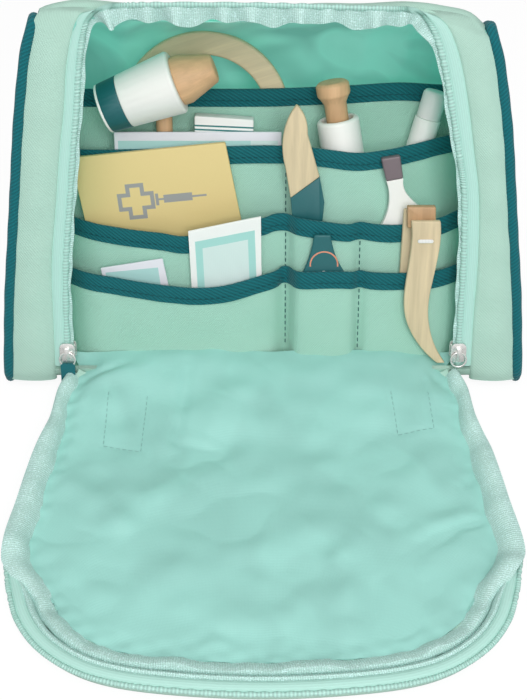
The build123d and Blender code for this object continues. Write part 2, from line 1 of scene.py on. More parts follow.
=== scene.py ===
"""Cloth, trims and finishes of a toy vet bag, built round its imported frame.

Places on the bag are given as x across, h up the lean of the opening from the flap's hinge, and d behind
the opening, in millimetres. Meshes are in metres.
"""

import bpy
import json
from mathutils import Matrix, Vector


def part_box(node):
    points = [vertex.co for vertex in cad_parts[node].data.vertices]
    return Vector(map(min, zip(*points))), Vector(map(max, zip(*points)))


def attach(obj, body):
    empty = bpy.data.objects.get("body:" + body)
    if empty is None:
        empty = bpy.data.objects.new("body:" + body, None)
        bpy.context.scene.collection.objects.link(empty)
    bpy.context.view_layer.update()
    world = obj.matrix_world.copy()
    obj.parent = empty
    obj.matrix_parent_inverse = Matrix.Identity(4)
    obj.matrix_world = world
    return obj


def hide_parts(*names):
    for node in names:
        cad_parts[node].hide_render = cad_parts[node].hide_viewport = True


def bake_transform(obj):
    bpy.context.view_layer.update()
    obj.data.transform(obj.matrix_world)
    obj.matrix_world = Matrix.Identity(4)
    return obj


bl_info = {
    "name": "Toy vet bag",
    "version": (1, 0, 0),
    "blender": (4, 5, 0),
    "location": "View3D > Sidebar > Vet bag",
    "description": "Builds the cloth, trims and toy tools of a soft vet bag round its packed frame",
    "category": "Add Mesh",
}

import json
from math import cos, pi, radians, sin, tau

import bmesh
import bpy
import numpy as np
from mathutils import Vector

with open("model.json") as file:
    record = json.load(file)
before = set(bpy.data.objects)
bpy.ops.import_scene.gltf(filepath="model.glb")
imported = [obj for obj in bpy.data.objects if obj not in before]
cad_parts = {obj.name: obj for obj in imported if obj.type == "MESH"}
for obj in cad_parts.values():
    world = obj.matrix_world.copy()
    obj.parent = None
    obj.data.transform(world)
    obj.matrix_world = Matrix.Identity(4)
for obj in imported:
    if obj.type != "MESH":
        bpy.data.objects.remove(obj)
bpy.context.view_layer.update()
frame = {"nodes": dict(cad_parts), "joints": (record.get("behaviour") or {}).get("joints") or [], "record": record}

MM = 0.001
JOINTS = {joint["name"]: joint for joint in frame["joints"]}
HINGE = np.array(JOINTS["flap_hinge"]["pos_m"])
LEAN = np.array(JOINTS["otoscope_lift"]["axis"])
LEAN = LEAN / np.linalg.norm(LEAN)
ACROSS = np.array((1.0, 0.0, 0.0))
OUT = np.cross(ACROSS, LEAN)
UP = np.array((0.0, 0.0, 1.0))
WHITE = (1.0, 1.0, 1.0, 1.0)
BODY = {node: body for body, nodes in frame["record"]["behaviour"]["bodies"].items() for node in nodes}


# Lines and surfaces as arrays of points

def place(x, h, d):
    """Points in metres from x, h and d in millimetres."""
    x, h, d = (np.asarray(v, float)[..., None] * MM for v in np.broadcast_arrays(x, h, d))
    return HINGE + x * ACROSS + h * LEAN - d * OUT


def even(line, count):
    """The line as count points an even distance apart."""
    steps = np.linalg.norm(np.diff(line, axis=0), axis=1)
    reach = np.concatenate(([0.0], np.cumsum(steps)))
    wanted = np.linspace(0, reach[-1], count)
    return np.stack([np.interp(wanted, reach, column) for column in line.T], 1)


def through(points, count, closed=False):
    """A smooth line through points, as count even points. A closed one ends where it starts."""
    p = np.asarray(points, float)
    if closed:
        p = np.vstack((p[-1:], p, p[:2]))
    else:
        p = np.vstack((2 * p[0] - p[1], p, 2 * p[-1] - p[-2]))
    t = np.linspace(0, 1, 16, endpoint=False)[:, None]
    runs = [
        0.5 * (2 * b + (c - a) * t + (2 * a - 5 * b + 4 * c - d) * t**2 + (3 * b - a - 3 * c + d) * t**3)
        for a, b, c, d in zip(p, p[1:], p[2:], p[3:])
    ]
    return even(np.vstack(runs + [p[-2:-1]]), count)


def level(points, x):
    """Height of a smooth line through (x, height) points, at the given x."""
    line = through(points, 600)
    return np.interp(x, line[:, 0], line[:, 1])


def unit(vectors):
    """The vectors at length 1."""
    return vectors / (np.linalg.norm(vectors, axis=-1, keepdims=True) + 1e-12)


def eased(t):
    """Share between 0 and 1 that starts and ends softly."""
    t = np.clip(t, 0, 1)
    return t * t * (3 - 2 * t)


def waves(u, v, sizes, seed):
    """Soft unevenness of cloth between about -1 and 1, from waves of the given sizes."""
    draw = np.random.default_rng(seed)
    total = np.zeros(np.broadcast(u, v).shape)
    for size in sizes:
        for _ in range(4):
            turn, phase = draw.uniform(0, tau, 2)
            total += np.sin(tau * (u * cos(turn) + v * sin(turn)) / size + phase)
    return total / (2 * len(sizes))


def creases(x, y, lines):
    """Height of soft folds along lines of (x, y, x, y, height, width)."""
    total = np.zeros(np.broadcast(x, y).shape)
    for x0, y0, x1, y1, height, width in lines:
        run = np.array((x1 - x0, y1 - y0))
        along = ((x - x0) * run[0] + (y - y0) * run[1]) / (run @ run)
        near = np.clip(along, 0, 1)
        away = np.hypot(x - x0 - run[0] * near, y - y0 - run[1] * near)
        fade = np.sin(pi * np.clip(near, 0.08, 0.92)) ** 0.5
        total = total + height * np.exp(-((away / width) ** 2)) * fade
    return total


def patch(foot, head, left, right):
    """Grid between four border lines: foot and head run left to right, left and right run foot to head."""
    s = np.linspace(0, 1, len(foot))[None, :, None]
    t = np.linspace(0, 1, len(left))[:, None, None]
    sides = left[:, None] * (1 - s) + right[:, None] * s
    ends = foot[None] * (1 - t) + head[None] * t
    low = foot[None, :1] * (1 - s) + foot[None, -1:] * s
    high = head[None, :1] * (1 - s) + head[None, -1:] * s
    return sides + ends - (low * (1 - t) + high * t)


def sheeted(grid, thickness, away):
    """Rings of a sheet of cloth whose face is the grid and looks along away."""
    normal = unit(np.cross(np.gradient(grid, axis=0), np.gradient(grid, axis=1)))
    if np.sum(normal * away) < 0:
        normal = -normal
    back = grid - normal * thickness
    return np.concatenate((grid, back[:, ::-1]), axis=1)


def swept(path, section, side, lift):
    """Rings of a section of (side, lift) pairs in metres, carried along a path."""
    section = np.broadcast_to(section, (len(path),) + np.shape(section)[-2:])
    return path[:, None] + section[..., :1] * side[:, None] + section[..., 1:] * lift[:, None]


def oval(width, height, count=10, turn=0.0):
    """Section of an oval as (side, lift) pairs."""
    angle = np.arange(count) * tau / count + turn
    return np.stack((np.cos(angle) * width / 2, np.sin(angle) * height / 2), 1)


# Mesh pieces

CLOTH_CREASE = radians(55)
TOOL_CREASE = radians(40)
FLAT_WITHIN = radians(1.5)
EASED_FROM = radians(35)


def dressed(piece, finish, node, stands_for=False, rides=True):
    """Gives a piece its material, and the body of a node, which it may stand for."""
    piece.data.materials.clear()
    piece.data.materials.append(finish)
    if rides:
        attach(piece, BODY[node])
    if stands_for:
        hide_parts(node)
    return piece


def meshed(name, points, faces, cloth):
    """Mesh object from points and faces, with the cloth's measures in metres as its UV map."""
    mesh = bpy.data.meshes.new(name)
    mesh.from_pydata(np.asarray(points).tolist(), [], [list(face) for face in faces])
    layer = mesh.uv_layers.new(name="cloth")
    layer.data.foreach_set("uv", np.asarray(cloth, float).ravel())
    work = bmesh.new()
    work.from_mesh(mesh)
    bmesh.ops.recalc_face_normals(work, faces=work.faces)
    work.to_mesh(mesh)
    work.free()
    mesh.shade_smooth()
    mesh.set_sharp_from_angle(angle=CLOTH_CREASE)
    piece = bpy.data.objects.new(name, mesh)
    bpy.context.scene.collection.objects.link(piece)
    return piece


def ring_faces(rings, closed):
    """Faces and UV measures of closed rings joined in order."""
    n, k = rings.shape[:2]
    count = n if closed else n - 1
    ahead = np.concatenate((rings, rings[:1]))
    around = np.concatenate((rings, rings[:, :1]), axis=1)
    along = np.concatenate(([0.0], np.cumsum(np.linalg.norm(np.diff(ahead, axis=0), axis=2).mean(1))))
    about = np.concatenate(([0.0], np.cumsum(np.linalg.norm(np.diff(around, axis=1), axis=2).mean(0))))
    i, j = (a.ravel() for a in np.meshgrid(np.arange(count), np.arange(k), indexing="ij"))
    corners = [(i, j), (i, j + 1), (i + 1, j + 1), (i + 1, j)]
    faces = [np.stack([(a % n) * k + b % k for a, b in corners], 1)]
    cloth = [np.stack([np.stack((along[a], about[b]), 1) for a, b in corners], 1)]
    if not closed:
        j = np.arange(k // 2 - 1)
        for row, order in ((0, 1), (n - 1, -1)):
            ends = [j + 1, j, k - 1 - j, k - 2 - j][::order]
            faces.append(np.stack([row * k + b for b in ends], 1))
            cloth.append(np.stack([np.stack((np.full(len(b), along[row]), about[b]), 1) for b in ends], 1))
    return np.concatenate(faces), np.concatenate(cloth)


def lofted(name, rings, closed=False):
    """Mesh object of closed rings joined in order and capped at its ends."""
    rings = np.asarray(rings)
    faces, cloth = ring_faces(rings, closed)
    return meshed(name, rings.reshape(-1, 3), faces, cloth)


def sewn(name, rings, finish, node, stands_for=True, closed=False):
    """A loft in a finish that rides on a node's body and, unless told otherwise, stands for that node."""
    return dressed(lofted(name, rings, closed), finish, node, stands_for)


def gathered(name, groups):
    """One mesh object of several groups of rings, such as the stitches of a seam."""
    points, faces, cloth, start = [], [], [], 0
    for rings in groups:
        rings = np.asarray(rings)
        more, measures = ring_faces(rings, False)
        points.append(rings.reshape(-1, 3))
        faces.append(more + start)
        cloth.append(measures)
        start += len(points[-1])
    return meshed(name, np.vstack(points), np.vstack(faces), np.vstack(cloth))


def softened(node, edge, finish):
    """A copy of a hard node with its edges eased by this much, in millimetres, which stands for it."""
    piece = bpy.data.objects.new(f"{node}_eased", frame["nodes"][node].data.copy())
    bpy.context.scene.collection.objects.link(piece)
    work = bmesh.new()
    work.from_mesh(piece.data)
    bmesh.ops.remove_doubles(work, verts=work.verts, dist=1e-6)
    bmesh.ops.dissolve_limit(work, angle_limit=FLAT_WITHIN, verts=work.verts, edges=work.edges)
    sharp = [e for e in work.edges if len(e.link_faces) == 2 and e.calc_face_angle(0.0) > EASED_FROM]
    bmesh.ops.bevel(
        work, geom=sharp, offset=edge * MM, offset_type="OFFSET", segments=3, profile=0.5, affect="EDGES",
        clamp_overlap=True,
    )
    bmesh.ops.triangulate(work, faces=[f for f in work.faces if len(f.verts) > 4])
    work.to_mesh(piece.data)
    work.free()
    piece.data.shade_smooth()
    piece.data.set_sharp_from_angle(angle=TOOL_CREASE)
    return dressed(piece, finish, node, stands_for=True)


def stitches(line, normal, length, gap, girth=0.35):
    """Ring groups of stitches along a line in metres, each a little bead of thread sunk in the cloth."""
    sink = 0.1
    spots = np.array((-0.5, -0.36, 0.36, 0.5)) * length * MM
    widths = np.array((0.3, 1.0, 1.0, 0.3)) * girth * MM
    ring = oval(1.0, 1.0, 6)
    total = np.linalg.norm(np.diff(line, axis=0), axis=1).sum()
    count = max(2, int(total / ((length + gap) * MM)))
    path = even(np.concatenate((line, np.broadcast_to(normal, line.shape)), axis=1), 4 * count + 1)
    groups = []
    for first in range(0, 4 * count, 4):
        run = path[first:first + 4]
        ends = run[0, :3], run[-1, :3]
        ahead = unit(ends[1] - ends[0])
        out = unit(run[:, 3:].mean(0))
        side = np.cross(ahead, out)
        middle = (ends[0] + ends[1]) / 2 + out * (girth / 2 - sink) * MM
        groups.append([
            middle + ahead * spot + side * (ring[:, :1] * width * 1.15) + out * (ring[:, 1:] * width)
            for spot, width in zip(spots, widths)
        ])
    return groups


# Shader maths

class Socket:
    """A shader socket that takes part in Python expressions."""

    def __init__(self, tree, socket):
        self.tree = tree
        self.socket = socket

    def _maths(self, operation, *values):
        return self.tree.node("ShaderNodeMath", {"operation": operation}, dict(enumerate(values)))

    def __add__(self, other):
        return self._maths("ADD", self, other)

    def __radd__(self, other):
        return self._maths("ADD", other, self)

    def __sub__(self, other):
        return self._maths("SUBTRACT", self, other)

    def __mul__(self, other):
        return self._maths("MULTIPLY", self, other)

    def __pow__(self, other):
        return self._maths("POWER", self, other)

    def __gt__(self, other):
        return self._maths("GREATER_THAN", self, other)

    def __lt__(self, other):
        return self._maths("LESS_THAN", self, other)

    def sine(self):
        return self._maths("SINE", self)

    def at_most(self, other):
        return self._maths("MINIMUM", self, other)

    def at_least(self, other):
        return self._maths("MAXIMUM", self, other)


class Tree:
    """A node tree that makes any node from its type, settings and socket values."""

    def __init__(self, tree):
        self.tree = tree
        tree.nodes.clear()

    def node(self, kind, settings=None, values=None, output=0):
        """A new node's output socket. Settings come first, then the values or links of its sockets."""
        made = self.tree.nodes.new(kind)
        for key, value in (settings or {}).items():
            setattr(made, key, value)
        for key, value in (values or {}).items():
            self.feed(made.inputs[key], value)
        return Socket(self, made.outputs[output])

    def feed(self, target, value):
        """Links a socket or sets a value on an input."""
        if isinstance(value, Socket):
            self.tree.links.new(value.socket, target)
        else:
            target.default_value = value


MADE = {}  # finishes by their names, so that pieces share them


class Finish(Tree):
    """A material under construction, on one principled shader."""

    def __init__(self, name, **constants):
        self.material = bpy.data.materials.new(f"{name}_finish")
        self.material.use_nodes = True
        MADE[name] = self
        super().__init__(self.material.node_tree)
        self.shader = self.tree.nodes.new("ShaderNodeBsdfPrincipled")
        surface = self.tree.nodes.new("ShaderNodeOutputMaterial")
        self.tree.links.new(self.shader.outputs[0], surface.inputs["Surface"])
        for key, value in constants.items():
            self.shader.inputs[key.replace("_", " ")].default_value = value

    def colour(self, value):
        self.feed(self.shader.inputs["Base Color"], value)

    def roughness(self, value):
        self.feed(self.shader.inputs["Roughness"], value)

    def relief(self, height, depth):
        """Bump of this depth in millimetres where the height goes from 0 to 1."""
        bump = self.node("ShaderNodeBump", {}, {"Strength": 1.0, "Distance": depth * MM, "Height": height})
        self.feed(self.shader.inputs["Normal"], bump)

    def mix(self, share, below, above):
        """Colour between two colours."""
        return self.node("ShaderNodeMix", {"data_type": "RGBA"}, {0: share, 6: below, 7: above}, output=2)

    def cloth(self):
        """The cloth's own measures along and across, in metres."""
        place_on = self.node("ShaderNodeUVMap", {"uv_map": "cloth"})
        return tuple(self.node("ShaderNodeSeparateXYZ", {}, {0: place_on}, axis) for axis in (0, 1))

    def spot(self):
        """Place in the object, in metres."""
        return self.node("ShaderNodeTexCoord", {}, {}, "Object")

    def along(self, axis, origin=(0.0, 0.0, 0.0)):
        """Distance along an axis of the object, in metres."""
        moved = self.vector("SUBTRACT", {0: self.spot(), 1: tuple(origin)})
        return self.vector("DOT_PRODUCT", {0: moved, 1: tuple(axis)}, "Value")

    def vector(self, operation, values, output=0):
        """Vector maths."""
        return self.node("ShaderNodeVectorMath", {"operation": operation}, values, output)

    def noise(self, size, detail=2.0, where=None, distortion=0.0):
        """Noise between 0 and 1 whose lumps are about size millimetres across."""
        values = {"Scale": 1.0 / (size * MM), "Detail": detail, "Roughness": 0.5, "Distortion": distortion}
        return self.node("ShaderNodeTexNoise", {}, {**values, "Vector": where or self.spot()})


def srgb(*levels):
    """A colour of 0 to 255 levels as the linear numbers that shaders take."""
    parts = [level / 255 for level in levels]
    return tuple(c / 12.92 if c <= 0.04045 else ((c + 0.055) / 1.055) ** 2.4 for c in parts)


def toned(colour, share):
    """The colour made lighter or darker by a share."""
    return tuple(min(1.0, c * share) for c in colour[:3]) + (1.0,)


def woven(name, colour, threads, relief_shading, depth, mottle, silver_sparkle=0.0, fold_shade=0.0, **constants):
    """Woven cloth. Threads are (turn in degrees, pitch in mm, share) of its ribs. Its colour carries painted shade
    and light of the weave's relief, and may carry painted glints and painted shade of soft folds.
    """
    if name in MADE:
        return MADE[name].material
    finish = Finish(name, Specular_IOR_Level=0.25, **constants)
    u, v = finish.cloth()
    ribs = 0.0
    for turn, pitch, share in threads:
        wave = ((u * cos(radians(turn)) + v * sin(radians(turn))) * (tau / (pitch * MM))).sine()
        ribs = wave * (share / 2) + ribs
    grain = finish.noise(0.45, 2.0)
    cloudy = finish.noise(28.0, 3.0)
    height = ribs + grain * 0.5
    # Painted shade and light of the weave: the colour is darker where the threads lie low and lighter where they
    # stand high, on top of the bump.
    tone = (height + 0.25).at_least(0.0).at_most(1.0)
    shade = finish.mix(tone, toned(colour, 1 - relief_shading), toned(colour, 1 + relief_shading * 0.6))
    if silver_sparkle:
        # Painted glints: bright specks in the colour stand for light caught by the silvery threads, which are also
        # paler than the rest of the cloth.
        painted_glint = (finish.noise(0.55, 1.0) - 0.56).at_least(0.0) * (9.0 * silver_sparkle)
        shade = finish.mix(painted_glint.at_most(1.0), shade, toned(colour, 1.5))
    shade = finish.mix((cloudy - 0.3) * (2.0 * mottle), shade, toned(colour, 0.72))
    if fold_shade:
        # Painted shade of soft folds: large dark patches in the colour, which follow no fold of the mesh.
        painted_fold_shade = ((finish.noise(46.0, 1.0, distortion=1.2) - 0.5) * 5.0 + 0.45).at_least(0.0).at_most(1.0)
        shade = finish.mix(painted_fold_shade * fold_shade, shade, toned(colour, 0.42))
    finish.colour(shade)
    finish.relief(height, depth)
    return finish.material


def wood(name, colour, grain):
    """Bare fine-sanded wood whose grain runs along a direction."""
    if name in MADE:
        return MADE[name].material
    streak, stretch = 0.30, 0.94
    finish = Finish(name)
    grain = unit(grain)
    along = finish.vector("SCALE", {0: tuple(grain), "Scale": finish.along(grain) * stretch})
    squeezed = finish.vector("SUBTRACT", {0: finish.spot(), 1: along})
    bands = finish.noise(3.2, 3.0, squeezed, distortion=0.4)
    pores = finish.noise(0.5, 2.0, squeezed)
    tone = ((bands - 0.35) * 2.4).at_least(0.0).at_most(1.0)
    shade = finish.mix(tone, toned(colour, 1 - streak * 0.5), toned(colour, 1 + streak * 0.22))
    shade = finish.mix((pores - 0.5).at_least(0.0) * 0.9, shade, toned(colour, 1 - streak))
    finish.colour(shade)
    finish.roughness(0.5 + pores * 0.15)
    finish.relief(pores * 0.5 + bands * 0.5, 0.06)
    return finish.material


def paint(name, colour):
    """Satin paint on wood, a little uneven and rubbed."""
    if name in MADE:
        return MADE[name].material
    finish = Finish(name, Coat_Weight=0.15, Coat_Roughness=0.3)
    lumps = finish.noise(1.6, 2.0)
    cloudy = finish.noise(14.0, 3.0)
    finish.colour(finish.mix((cloudy - 0.35) * 0.3, toned(colour, 1.0), toned(colour, 0.86)))
    finish.roughness(0.42 + lumps * 0.12)
    finish.relief(lumps, 0.03)
    return finish.material


class Sheet:
    """Printed card seen in its own x and h, in millimetres from a corner of the print."""

    def __init__(self, name, origin, turn, colour, **constants):
        self.finish = Finish(name, **constants)
        side = ACROSS * cos(radians(turn)) + LEAN * sin(radians(turn))
        rise = LEAN * cos(radians(turn)) - ACROSS * sin(radians(turn))
        self.x, self.y = (self.finish.along(axis, place(*origin)) * (1 / MM) for axis in (side, rise))
        self.fibres = self.finish.noise(0.7, 3.0)
        self.shade = self.finish.mix(self.fibres * 0.25, toned(colour, 1.0), toned(colour, 0.9))

    def box(self, left, low, right, high):
        """Mask of a box in the card's own measures."""
        return (self.x > left) * (self.x < right) * (self.y > low) * (self.y < high)

    def disc(self, x, y, radius, inner=0.0):
        """Mask of a disc or a ring."""
        away = ((self.x - x) ** 2 + (self.y - y) ** 2) ** 0.5
        return (away < radius) * (away > inner) if inner else (away < radius)

    def print(self, mask, colour):
        """Prints a colour where the mask is 1."""
        self.shade = self.finish.mix(mask, self.shade, toned(colour, 1.0))

    def bars(self, colour, *boxes):
        """Prints boxes of left, low, right and high in a colour."""
        for box in boxes:
            self.print(self.box(*box), colour)

    def done(self):
        """Feeds the print to the shader."""
        self.finish.colour(self.shade)
        self.finish.roughness(0.5 + self.fibres * 0.15)
        self.finish.relief(self.fibres, 0.03)
        return self.finish.material


# The bag's own measures, in millimetres

HINGE_RISE, LEAN_RISE, DEPTH_FALL = 11, 0.94, 0.342  # height is 11 + 0.94 h - 0.342 d
MIDDLE = np.array((0.0, 0.0, 0.09))  # inside the bag, in metres
FLOOR_GAP = 0.6
LINING_GAP = 3.6
POCKET_CLOTH, FLAP_CLOTH, FLAP_SATIN, SEAM_TAPE, TOWEL = 0.0011, 0.0019, 0.0005, 0.0008, 0.0010  # in metres
COLUMNS = 73  # points across each panel between the pipings

# Line of the piping: y and height round the bag's side
SIDE_LINE = [
    (-59, 2.6), (-63.5, 4.8), (-65.0, 10), (-62.1, 19), (-47.9, 58), (-32.6, 100), (-18.0, 140),
    (-11.6, 157), (-8.8, 162.4), (-5.6, 165.4), (-1.2, 165.8), (4.2, 163.4), (11, 159.4), (21, 153.6),
    (32, 147.2), (39.4, 141.2), (44.4, 132.5), (48.2, 120), (52.6, 90), (57.8, 52), (62.4, 20), (63.6, 10),
    (61.4, 4.6), (56, 2.6), (20, 2.5), (-25, 2.5),
]
# Height, and half the width between the pipings there
WIDTHS = [
    (-20, 127), (0, 126.6), (11, 126), (39, 123.1), (63, 119.8), (93, 115.2), (120, 111.3), (144, 107),
    (156, 104.4), (164, 101.6), (170, 99), (185, 92),
]
# Corners of the side line as (y, height)
RIDGE_CORNER = (-5.6, 165.4)
BACK_SEAM = (47.4, 124.0)
BACK_FOOT = (63.7, 9.0)
FRONT_FOOT = (-65.0, 10.4)
# Rows round the opening: x, h and d of the zip's seam, of its teeth, and of the frame's outer edge
RIGHT_RIM = [
    (103.2, -7, 2.0, 97.5, -7, 1.5, 126.6, -7, 2.0),
    (102.5, 1.5, 0, 96.7, 1.5, 0.6, 126.0, 1.5, 0),
    (101.9, 30, 0, 96.0, 30, 0.6, 123.3, 30, 0),
    (101.9, 55, 0, 95.6, 55, 0.6, 120.2, 55, 0),
    (100.0, 87, 0, 93.6, 88, 0.6, 115.6, 87, 0),
    (96.1, 109, 0, 89.9, 107.5, 0.6, 112.4, 110, 0),
    (91.6, 132, 0, 84.9, 130, 0.6, 109.4, 132, 0),
    (87.0, 150, 0, 80.2, 149, 0.5, 105.9, 150, 0),
    (82.3, 161.8, 0.2, 75.8, 161.4, 0.5, 101.4, 162, 0.8),
    (78.0, 167.6, 0.9, 71.6, 168.0, 0.5, 97.8, 166.0, 2.6),
    (72.0, 170.4, 2.4, 67.2, 171.7, 0.4, 90.5, 172.2, 5.0),
    (62, 170.6, 4.4, 61.0, 173.0, 0.3, 77, 172.6, 8.5),
    (44, 170.6, 5.6, 44, 173.4, 0.2, 54, 169.0, 13.5),
]
LEFT_RIM = [
    (-103.2, -7, 2, -97.4, -7, 1.5, -126.6, -7, 2),
    (-102.5, 1.5, 0, -96.7, 1.5, 0.6, -126, 1.5, 0),
    (-101.5, 30, 0, -95.7, 30, 0.6, -123.3, 30, 0),
    (-100.2, 55, 0, -94.0, 55, 0.6, -120.2, 55, 0),
    (-95.6, 87, 0, -89.6, 88, 0.6, -115.6, 87, 0),
    (-92.2, 111, 0, -86.4, 112, 0.6, -112.4, 110, 0),
    (-89.2, 128, 0, -84.0, 128, 0.6, -109.4, 132, 0),
    (-87.2, 144, 0, -81.9, 145, 0.6, -106.4, 146, 0),
    (-84.9, 156, 0, -80.0, 156, 0.5, -103.6, 158, 0.5),
    (-82.2, 164.6, 0.2, -77.6, 165.6, 0.5, -100.4, 166.5, 1.8),
    (-78.9, 170.4, 0.8, -74.2, 170.4, 0.5, -96.5, 171.4, 3.8),
    (-73.5, 171.2, 2.6, -69.3, 173.2, 0.4, -86, 172.6, 6.5),
    (-64, 171.2, 4.4, -63.0, 174.4, 0.3, -76, 171.6, 9.5),
    (-44, 171.0, 5.6, -44, 174.8, 0.2, -54, 169, 13.5),
]
RIM = RIGHT_RIM + [(0, 171.0, 5.8, 0, 174.6, 0.2, 0, 168, 15)] + LEFT_RIM[::-1]
# The open flap: x and reach from the hinge of its outline, and the rim's width at a reach
FLAP_SIDE = [
    (94.0, -4), (95.8, 0), (97.6, 5), (100.2, 13.8), (101.8, 31.8), (106.2, 50), (108.6, 66), (110.4, 82),
    (112.6, 98), (112.8, 108), (110.6, 118), (107.6, 129.3), (101.8, 143.5), (91.6, 156.2), (76.5, 166.3),
    (57.8, 172.3), (30.7, 175.7), (0, 177.0),
]
BAND = [
    (-6, 5.2), (0, 6.0), (8, 7.2), (23, 7.2), (38, 8.6), (52, 10.0), (72, 11.1), (100, 11.0), (115, 12.2),
    (130, 17.4), (142, 19.6), (300, 19.6),
]
# Each pocket tier: x and depth of its face, and x and h of its top edge
TIERS = {
    1: dict(
        plan=[(-124, 50), (-98, 46), (-50, 46), (0, 46), (50, 46), (98, 46), (124, 50)],
        top=[(-124, 128), (-86, 128), (-40, 128), (0, 128), (40, 129.5), (66, 131), (89, 130), (124, 130)],
    ),
    2: dict(
        plan=[(-124, 44), (-90, 33), (-50, 30), (-25, 29.7), (-4, 29.5), (11, 27), (21, 23.5), (30, 21.5),
              (46, 21), (62, 22.5), (76, 27), (90, 33), (124, 43)],
        top=[(-124, 104), (-89, 101.6), (-40, 103), (0, 104.4), (24, 105), (44, 103), (57, 104), (75, 106.5),
             (91, 108.4), (124, 110)],
    ),
    3: dict(
        plan=[(-124, 38), (-90, 22.5), (-70, 18.8), (-50, 16.5), (-20, 16.7), (0, 17), (11, 18.7), (17, 13.4),
              (30, 12), (42, 12), (47, 14.5), (53, 13.5), (70, 13.6), (84, 14.5), (104, 25), (124, 36)],
        top=[(-124, 73), (-93, 70), (-79, 67.6), (-65, 65.8), (-50, 64.5), (-36, 62.9), (-15, 68.5),
             (0, 71.9), (9.7, 73.8), (39, 70.6), (46, 70.9), (66, 69.7), (95, 74.4), (124, 77)],
    ),
    4: dict(
        plan=[(-124, 34), (-90, 13), (-70, 9.8), (-50, 8), (-20, 8.8), (2, 10.4), (11, 16), (17, 7.2),
              (28, 6), (42, 6), (47, 10), (53, 7.7), (70, 7.5), (84, 7.5), (104, 18), (124, 30)],
        top=[(-124, 49), (-93, 46.7), (-80, 45), (-65, 42.7), (-45, 40.2), (-33, 39), (-18.5, 40), (-0.5, 45),
             (8, 46.7), (10.5, 47.7), (37, 48.6), (47.6, 47.7), (69, 47.2), (96, 49.5), (124, 51)],
    ),
}

# Sections of the tapes and the flap's rim, as sideways and upward places
ZIP_TAPE = [
    (-1.2, -0.9), (0.2, -0.1), (1.4, 0.35), (3.0, 0.4), (4.6, 0.1), (5.4, -0.5), (3.0, -0.7), (0.6, -1.0),
]
FLAP_WALL = [
    (3.2, 9.4), (2.4, 8.0), (2.0, 6.0), (2.6, 3.6), (4.6, 2.3), (6.2, 2.4), (6.2, 3.4), (5.0, 4.2),
    (4.6, 6.2), (4.7, 9.1),
]
FLAP_TAPE = [
    (2.5, 9.5), (3.4, 10.3), (5.0, 10.7), (6.6, 10.3), (7.2, 9.6), (6.6, 9.2), (5.0, 9.5), (3.2, 9.0),
]
FAR_TAPE = [
    (19.6, 3.9), (18.2, 4.6), (16.2, 6.8), (14.2, 8.8), (12.2, 9.3), (10.7, 7.6), (10.2, 5.4), (10.9, 5.0),
    (11.5, 7.4), (13.2, 8.0), (15.4, 5.8), (17.2, 4.1),
]
SIDE_TAPE = [
    (17.4, 4.4), (16.2, 6.0), (14.2, 8.4), (11.0, 10.6), (7.0, 11.7), (3.0, 11.7), (0.4, 10.9), (0.4, 10.2),
    (3.5, 11.0), (7.5, 10.7), (11.0, 9.3), (13.4, 6.6),
]
OUTER_TAPE = [
    (10.4, 5.2), (10.2, 7.6), (9.5, 9.7), (8.4, 10.6), (7.3, 9.8), (7.2, 9.2), (8.2, 9.6), (9.0, 9.0),
    (9.6, 7.2), (9.8, 5.0),
]

# Soft folds as x, y, x, y, height and width. The lining's y is in percent of its run, the flap's is its reach
LINING_FOLDS = [
    (-82, 55, -60, 96, 7, 7), (-64, 50, -38, 97, 4, 6), (-12, 60, -22, 97, 4, 8), (18, 58, 30, 98, 4, 6),
    (44, 52, 52, 98, 6, 7), (62, 48, 74, 98, 6, 6), (80, 52, 88, 96, 6, 6), (-92, 50, -90, 92, 6, 6),
]
FLAP_FOLDS = [
    (2, -2, -16, 18, 1.5, 8), (-16, 18, -27, 42, 1.5, 8), (-19, 56, -33, 70, 1.2, 8),
    (-33, 70, -52, 77, 1.2, 7), (-37, -2, -39, 23, -1.1, 3.5), (-39, 23, -41, 43, -1.0, 3.5),
    (-41, 43, -20, 52, -0.8, 3.5), (-101, 98, -60, 96, -0.7, 4), (-94, 65, -72, 80, 1.0, 6),
    (-72, 80, -56, 98, 0.9, 6), (-34, 155, -21, 145, -0.9, 4), (-21, 145, -8, 148, -0.8, 4),
    (101, 88, 87, 92, -1.6, 2.6), (89, 91, 70, 102, -1.1, 4), (88, 86, 70, 94, 1.0, 5),
    (46, 95, 33, 110, 1.0, 7), (33, 110, 38, 138, 1.1, 7), (38, 138, 36, 152, 0.8, 6),
    (51, 114, 61, 143, -0.9, 9), (0, 38, 29, 29, 0.9, 9), (99, 64, 91, 70, -0.9, 3),
    (-88, 14, -92, 60, 0.8, 4), (-92, 108, -60, 134, 0.9, 7), (70, 20, 88, 60, 0.5, 7),
]
FLAP_TUCKS = [(-88, 6, -70, -1, -2.2, 2.4), (-84, 10, -60, 1, 0.9, 4), (88, 10, 80, -1, -1.0, 3)]

# Corners of the stitched boxes on the flap's lining, as x and reach
FLAP_BOXES = [
    [(-75.0, 1.9), (-75.4, 45.3), (-57.4, 49.3), (-55.9, 3.5)],
    [(60.9, 1.0), (64.2, 38.8), (81.4, 36.7), (79.3, 1.9)],
]
# Stitched seams that part the pockets: x, and the tiers that they run down
POCKET_SEAMS = {11.0: (2, 3, 4), 47.0: (3, 4)}
# The handles: half the distance between their ends, how deep an end is pressed in, and an end's stitched box
HANDLE_REACH = 67.0
HANDLE_SINK = 0.0003  # in metres
HANDLE_BOX = [(-9, 12), (9, 12), (9, 52), (-9, 52), (-9, 12), (9, 52), (-9, 52), (9, 12)]


def half_width(z):
    """Half the width between the pipings at a height, in millimetres."""
    return np.interp(z, *through(WIDTHS, 300).T)


